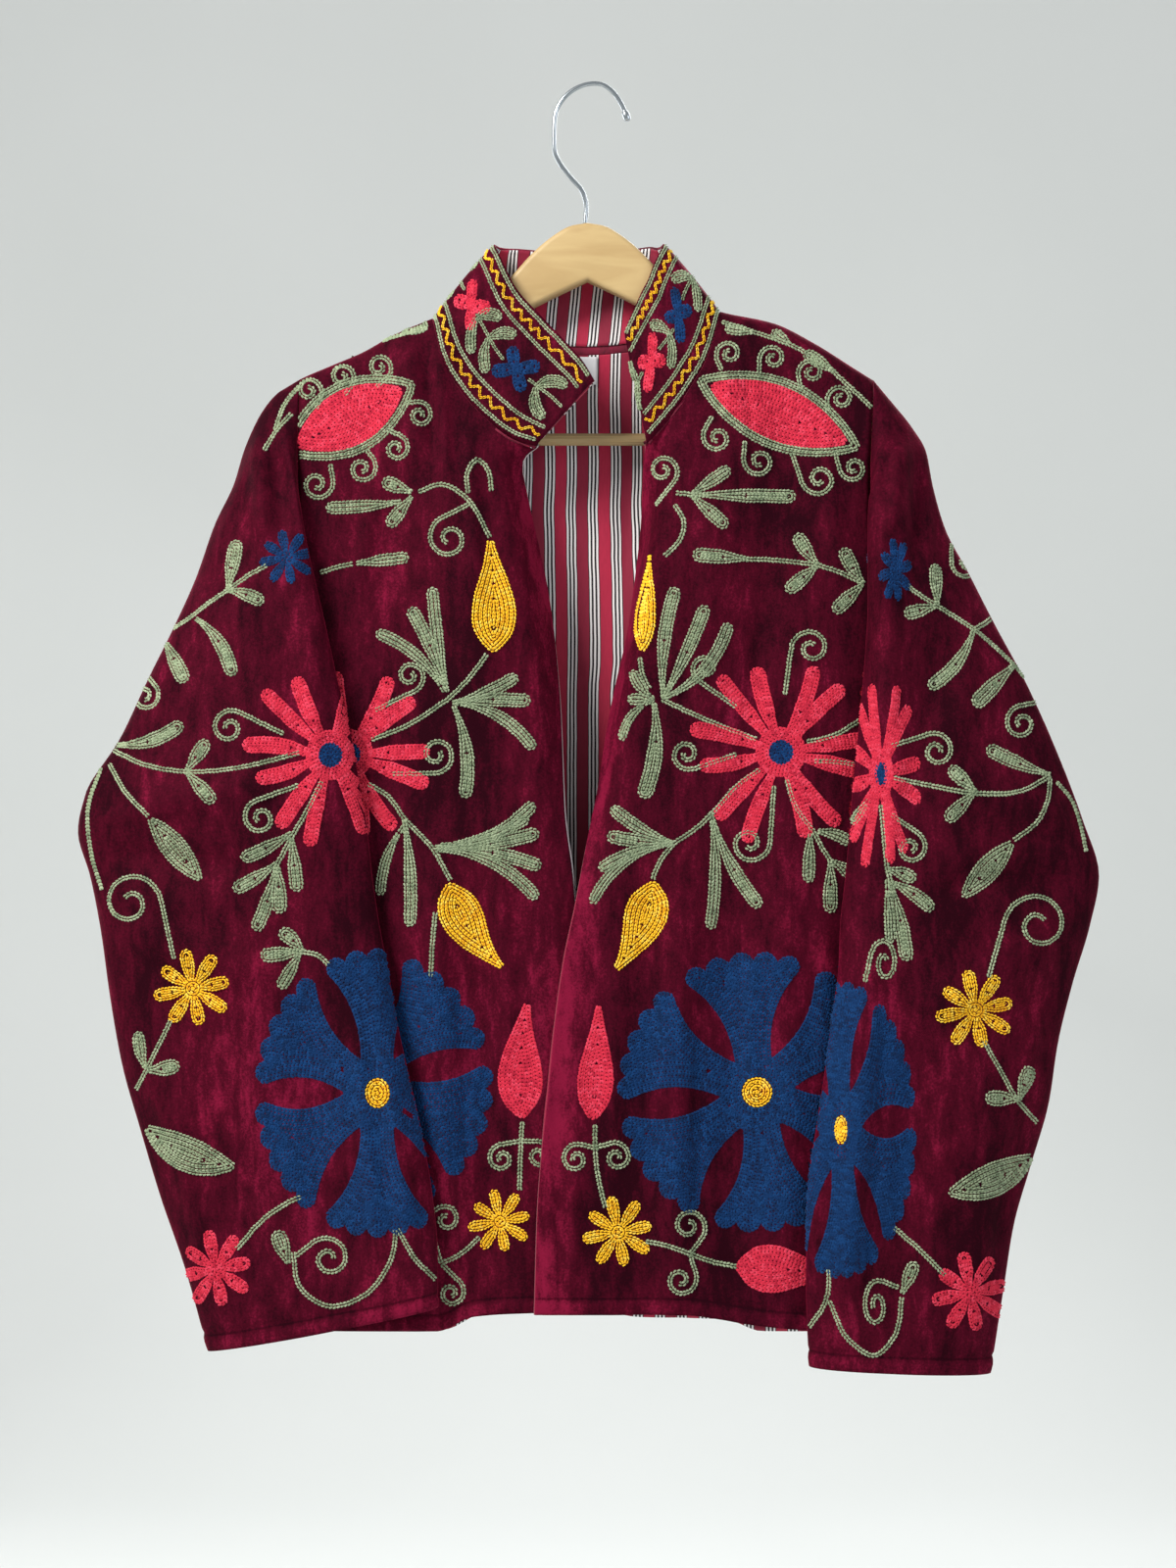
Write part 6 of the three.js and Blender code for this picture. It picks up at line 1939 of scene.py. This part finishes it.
class JACKET_OT_embroidery(bpy.types.Operator):
    """Lays the chain-stitched flowers, leaves and curls on the velvet, a piece per panel and thread."""
    bl_idname = "jacket.embroidery"
    bl_label = "Embroidery"

    def execute(self, context):
        sizes, _ = settings()
        height = sizes.stitch_height / MM
        for zone in (*ZONE_NAMES, "back", "collar"):
            stitches = Stitches(sizes)
            surface = SURFACES[zone]
            if zone == "collar":
                grid = surface.grid
                long = float(np.linalg.norm(np.diff(grid[len(grid) // 2], axis=0), axis=1).sum())
                high = float(np.linalg.norm(np.diff(grid[:, grid.shape[1] // 2], axis=0), axis=1).sum())
                flip = -1 if surface.sample(np.array([[0.5, 0.5]]))[1][0][1] < 0 else 1
                for colour, points, width in collar_runs(sizes, long, high):
                    fine = even_steps(points * (long, high), 1.0)
                    if fine is not None:
                        places, norms = surface.sample(fine / (long, high))
                        stitches.lay(colour, places, norms * flip, width)
            else:
                for colour, points, width, behind in self.runs(zone, sizes):
                    fine = even_steps(points, 1.3)
                    if fine is not None:
                        stitches.lay(colour, *surface.cast(fine, behind), width)
            for colour in stitches.frames:
                obj = stitches.build(f"stitch_{colour}_{zone}", colour, height, thread_materials(colour))
                add_piece(obj, slot="velvet")
        return {"FINISHED"}

    def runs(self, zone, sizes):
        if zone == "back":
            designs = [DESIGNS["back"], mirrored_design(mirrored_design(DESIGNS["front_left"]), False),
                       mirrored_design(DESIGNS["front_left"])]
            return [(*run, True) for design in designs for run in row_colour_runs(design, sizes)]
        runs = [(*run, False) for run in row_colour_runs(DESIGNS[zone], sizes)]
        if zone.startswith("sleeve"):
            behind = DESIGNS["sleeve_right"]
            if zone == "sleeve_left":
                behind = mirrored_design(behind, False)
            runs += [(*run, True) for run in row_colour_runs(behind, sizes)]
        return runs


# Hanger
ARM_THICKNESS = 12
ARM_ROUND = 3.5
BAR_RADIUS = 4
BAR_HALF = 172
BAR_Z = -231
ARM_TOP = [
    (0, -90), (12, -92.3), (23, -98.8), (36.5, -110.3), (48, -123), (63, -139), (83, -153.4), (101.5, -160.4),
    (128, -169.4), (147, -178.5), (166, -186.8), (182, -194.2), (189, -201), (196, -211), (202, -221),
    (205.5, -229), (205, -239), (199, -245), (188, -245),
]
ARM_LOW = [
    (172, -241), (172, -221), (160, -213), (128, -195), (96, -177), (64, -160), (37, -146), (19, -137),
    (0, -128),
]
HOOK = table(("x", "z", "radius"), [
    (-3, -89.6, 1), (-3, -75, 1), (-5, -69, 1), (-12.8, -59.7, 1), (-20, -50, 1), (-22.8, -44, 1),
    (-23.5, -36, 1), (-23.4, -28, 1), (-22, -16.5, 1), (-17, -7.8, 1), (-11, -2.7, 1), (-5, 0.2, 1),
    (1, 1.5, 1), (8.5, 0.7, 1), (14.7, -3.6, 1), (19.6, -10.2, 1), (22.4, -16, 1), (23, -17.6, 1.5),
    (23.8, -19.8, 1.65), (24.6, -22, 1.4), (24.9, -22.9, 0.6),
])
# The row of the hook's table where its ball tip begins
HOOK_TIP_ROW = 16


class JACKET_OT_hanger(bpy.types.Operator):
    """Builds the wooden hanger: its flat arms, ribbed bar and bright wire hook."""
    bl_idname = "jacket.hanger"
    bl_label = "Hanger"

    def execute(self, context):
        sizes, _ = settings()
        self.arms()
        self.bar()
        self.hook(sizes.wire / MM)
        return {"FINISHED"}

    def arms(self):
        upper = rounded(ARM_TOP, 90)
        lower = rounded(ARM_LOW[1:], 40)
        half = np.concatenate([upper, [ARM_LOW[0]], lower])
        left = half[1:-1][::-1] * (-1, 1)
        outline = np.concatenate([half, left]) + (HANGER_X, 0)
        before, after = np.roll(outline, 1, 0), np.roll(outline, -1, 0)
        way = after - before
        way /= np.linalg.norm(way, axis=1, keepdims=True)
        inward = np.stack([way[:, 1], -way[:, 0]], axis=1)
        rings = []
        flat = ARM_THICKNESS / 2 - ARM_ROUND
        for angle in np.radians(np.linspace(-90, 90, 13)):
            sink = ARM_ROUND * (1 - math.cos(angle))
            y = math.copysign(flat, angle) + ARM_ROUND * math.sin(angle)
            p = outline + inward * sink
            rings.append(np.stack([p[:, 0], np.full(len(p), y), p[:, 1]], axis=1))
        obj = capped("hanger_wood_arms", np.array(rings), wood_material("wood", (0.3, 1.0, 1.6)))
        add_piece(obj, "hanger_arms", slot="hanger_wood")

    def bar(self):
        around, stations = 72, 60
        angle = np.linspace(0, 2 * math.pi, around, endpoint=False)
        xs = np.linspace(-BAR_HALF + 0.3, BAR_HALF - 0.3, stations)
        ribs = BAR_RADIUS - 0.14 + 0.14 * np.cos(12 * angle)
        ends = 1 - 0.12 * np.exp(-((BAR_HALF - 0.3 - np.abs(xs)) / 0.6) ** 2)
        grid = np.stack([
            np.broadcast_to(xs[:, None] + HANGER_X, (stations, around)),
            ribs * np.cos(angle) * ends[:, None],
            BAR_Z + ribs * np.sin(angle) * ends[:, None],
        ], axis=-1)
        obj = capped("hanger_wood_bar", grid, wood_material("bar_wood", (0.2, 2.0, 2.0), 0.86))
        add_piece(obj, "hanger_bar", slot="hanger_wood")

    def hook(self, radius):
        steps = np.hypot(np.diff(HOOK["x"]), np.diff(HOOK["z"]))
        run = np.concatenate([[0], np.cumsum(steps)])
        tip = run[HOOK_TIP_ROW]
        at = np.concatenate([np.linspace(0, tip, 150), np.linspace(tip, run[-1], 24)[1:]])
        smooth_x, smooth_z = rounded(np.stack([HOOK["x"], HOOK["z"]], axis=1), 600).T
        full = np.concatenate([[0], np.cumsum(np.hypot(np.diff(smooth_x), np.diff(smooth_z)))])
        full *= run[-1] / full[-1]
        x, z = np.interp(at, full, smooth_x), np.interp(at, full, smooth_z)
        r = radius * Curve(run, HOOK["radius"])(at)
        tx, tz = np.gradient(x, at), np.gradient(z, at)
        long = np.hypot(tx, tz)
        tx, tz = tx / long, tz / long
        angle = np.linspace(0, 2 * math.pi, 18, endpoint=False)
        grid = np.stack([
            x[:, None] + tz[:, None] * r[:, None] * np.cos(angle),
            r[:, None] * np.sin(angle),
            z[:, None] - tx[:, None] * r[:, None] * np.cos(angle),
        ], axis=-1)
        obj = capped("hanger_wire_hook", grid, wire_material())
        add_piece(obj, "hanger_hook", slot="hook_wire")


def capped(name, grid, material):
    """A closed mesh from rings of points, with a face at each end and its sharp rims kept crisp."""
    rows, cols = grid.shape[:2]
    faces = grid_faces(rows, cols, True).tolist()
    faces.append(list(range(cols))[::-1])
    faces.append([(rows - 1) * cols + i for i in range(cols)])
    obj = mesh_object(name, grid.reshape(-1, 3), faces, [material])
    mesh = bmesh.new()
    mesh.from_mesh(obj.data)
    bmesh.ops.recalc_face_normals(mesh, faces=mesh.faces)
    mesh.to_mesh(obj.data)
    mesh.free()
    obj.data.set_sharp_from_angle(angle=math.radians(50))
    return obj


# Stage
BACKDROP = {"width": 9.0, "behind": 3.2, "ahead": 4.5, "floor": -1.55, "top": 3.2, "bend": 0.9}
WALL_SHADES = ((220, 223, 221), (230, 232, 231))


def area_light(name, place, target, power, size, shade=(255, 255, 255)):
    data = bpy.data.lights.new(name, "AREA")
    data.energy = power
    data.shape = "DISK"
    data.size = size
    data.color = linear(shade)[:3]
    obj = bpy.data.objects.new(name, data)
    obj.location = place
    obj.rotation_euler = (Vector(target) - Vector(place)).to_track_quat("-Z", "Y").to_euler()
    bpy.context.scene.collection.objects.link(obj)


class JACKET_OT_stage(bpy.types.Operator):
    """Sets up the camera, soft lights and a pale backdrop."""
    bl_idname = "jacket.stage"
    bl_label = "Stage"

    def execute(self, context):
        sizes, _ = settings()
        data = bpy.data.cameras.new("camera")
        data.sensor_fit = "VERTICAL"
        data.sensor_height = 36
        data.lens = sizes.view_length
        camera = bpy.data.objects.new("camera", data)
        camera.location = EYE * MM
        camera.rotation_euler = (math.pi / 2, 0, 0)
        context.scene.collection.objects.link(camera)
        context.scene.camera = camera
        middle = (0, 0, -0.45)
        area_light("window", (-1.5, -1.5, 1.1), middle, 84, 1.1, (255, 252, 248))
        area_light("fill", (1.9, -1.6, 0.1), middle, 16, 1.8, (244, 248, 255))
        area_light("behind", (0.8, 2.1, 0.9), middle, 44, 1.6)
        area_light("behind_low", (-1.8, 1.6, -0.2), middle, 20, 1.4)
        self.backdrop()
        world = bpy.data.worlds.new("soft_room")
        world.use_nodes = True
        world.node_tree.nodes["Background"].inputs[0].default_value = (0.86, 0.89, 0.90, 1)
        world.node_tree.nodes["Background"].inputs[1].default_value = 0.5
        context.scene.world = world
        context.scene.view_settings.view_transform = "Standard"
        return {"FINISHED"}

    def backdrop(self):
        b = BACKDROP
        bend = [(b["behind"] - b["bend"] + b["bend"] * math.sin(a),
                 b["floor"] + b["bend"] - b["bend"] * math.cos(a)) for a in np.linspace(0, math.pi / 2, 14)]
        profile = [(-b["ahead"], b["floor"]), *bend, (b["behind"], b["top"])]
        xs = np.linspace(-b["width"] / 2, b["width"] / 2, 8)
        grid = np.array([[(x, y, z) for x in xs] for y, z in profile]) / MM
        material, n, shader = principled("backdrop", Roughness=0.9)
        place = n.add("ShaderNodeTexCoord").outputs["Object"]
        n.plug(shader.inputs["Base Color"], n.blend(n.noise(place, 1.2, 2.0), *map(linear, WALL_SHADES)))
        rows, cols = grid.shape[:2]
        obj = mesh_object("backdrop", grid.reshape(-1, 3), grid_faces(rows, cols, False), [material])


class JACKET_PT_panel(bpy.types.Panel):
    """Lists the jacket's pieces, sizes and colours in the sidebar."""
    bl_idname = "JACKET_PT_panel"
    bl_label = "Embroidered velvet jacket"
    bl_space_type = "VIEW_3D"
    bl_region_type = "UI"
    bl_category = "Jacket"

    def draw(self, context):
        layout = self.layout
        for operator in OPERATORS:
            layout.operator(operator.bl_idname)
        for owner in settings():
            for name in owner.__annotations__:
                layout.prop(owner, name)


OPERATORS = (
    JACKET_OT_stage, JACKET_OT_fronts, JACKET_OT_back, JACKET_OT_label, JACKET_OT_collar, JACKET_OT_sleeves,
    JACKET_OT_embroidery, JACKET_OT_hanger,
)
CLASSES = (JacketSizes, JacketColours, *OPERATORS, JACKET_PT_panel)


def register():
    for cls in CLASSES:
        bpy.utils.register_class(cls)
    bpy.types.Scene.jacket_sizes = PointerProperty(type=JacketSizes)
    bpy.types.Scene.jacket_colours = PointerProperty(type=JacketColours)


def unregister():
    del bpy.types.Scene.jacket_colours
    del bpy.types.Scene.jacket_sizes
    for cls in reversed(CLASSES):
        bpy.utils.unregister_class(cls)


def main():
    register()
    bpy.ops.jacket.stage()
    bpy.ops.jacket.fronts()
    bpy.ops.jacket.back()
    bpy.ops.jacket.label()
    bpy.ops.jacket.collar()
    bpy.ops.jacket.sleeves()
    bpy.ops.jacket.embroidery()
    bpy.ops.jacket.hanger()


if __name__ == "__main__":
    main()
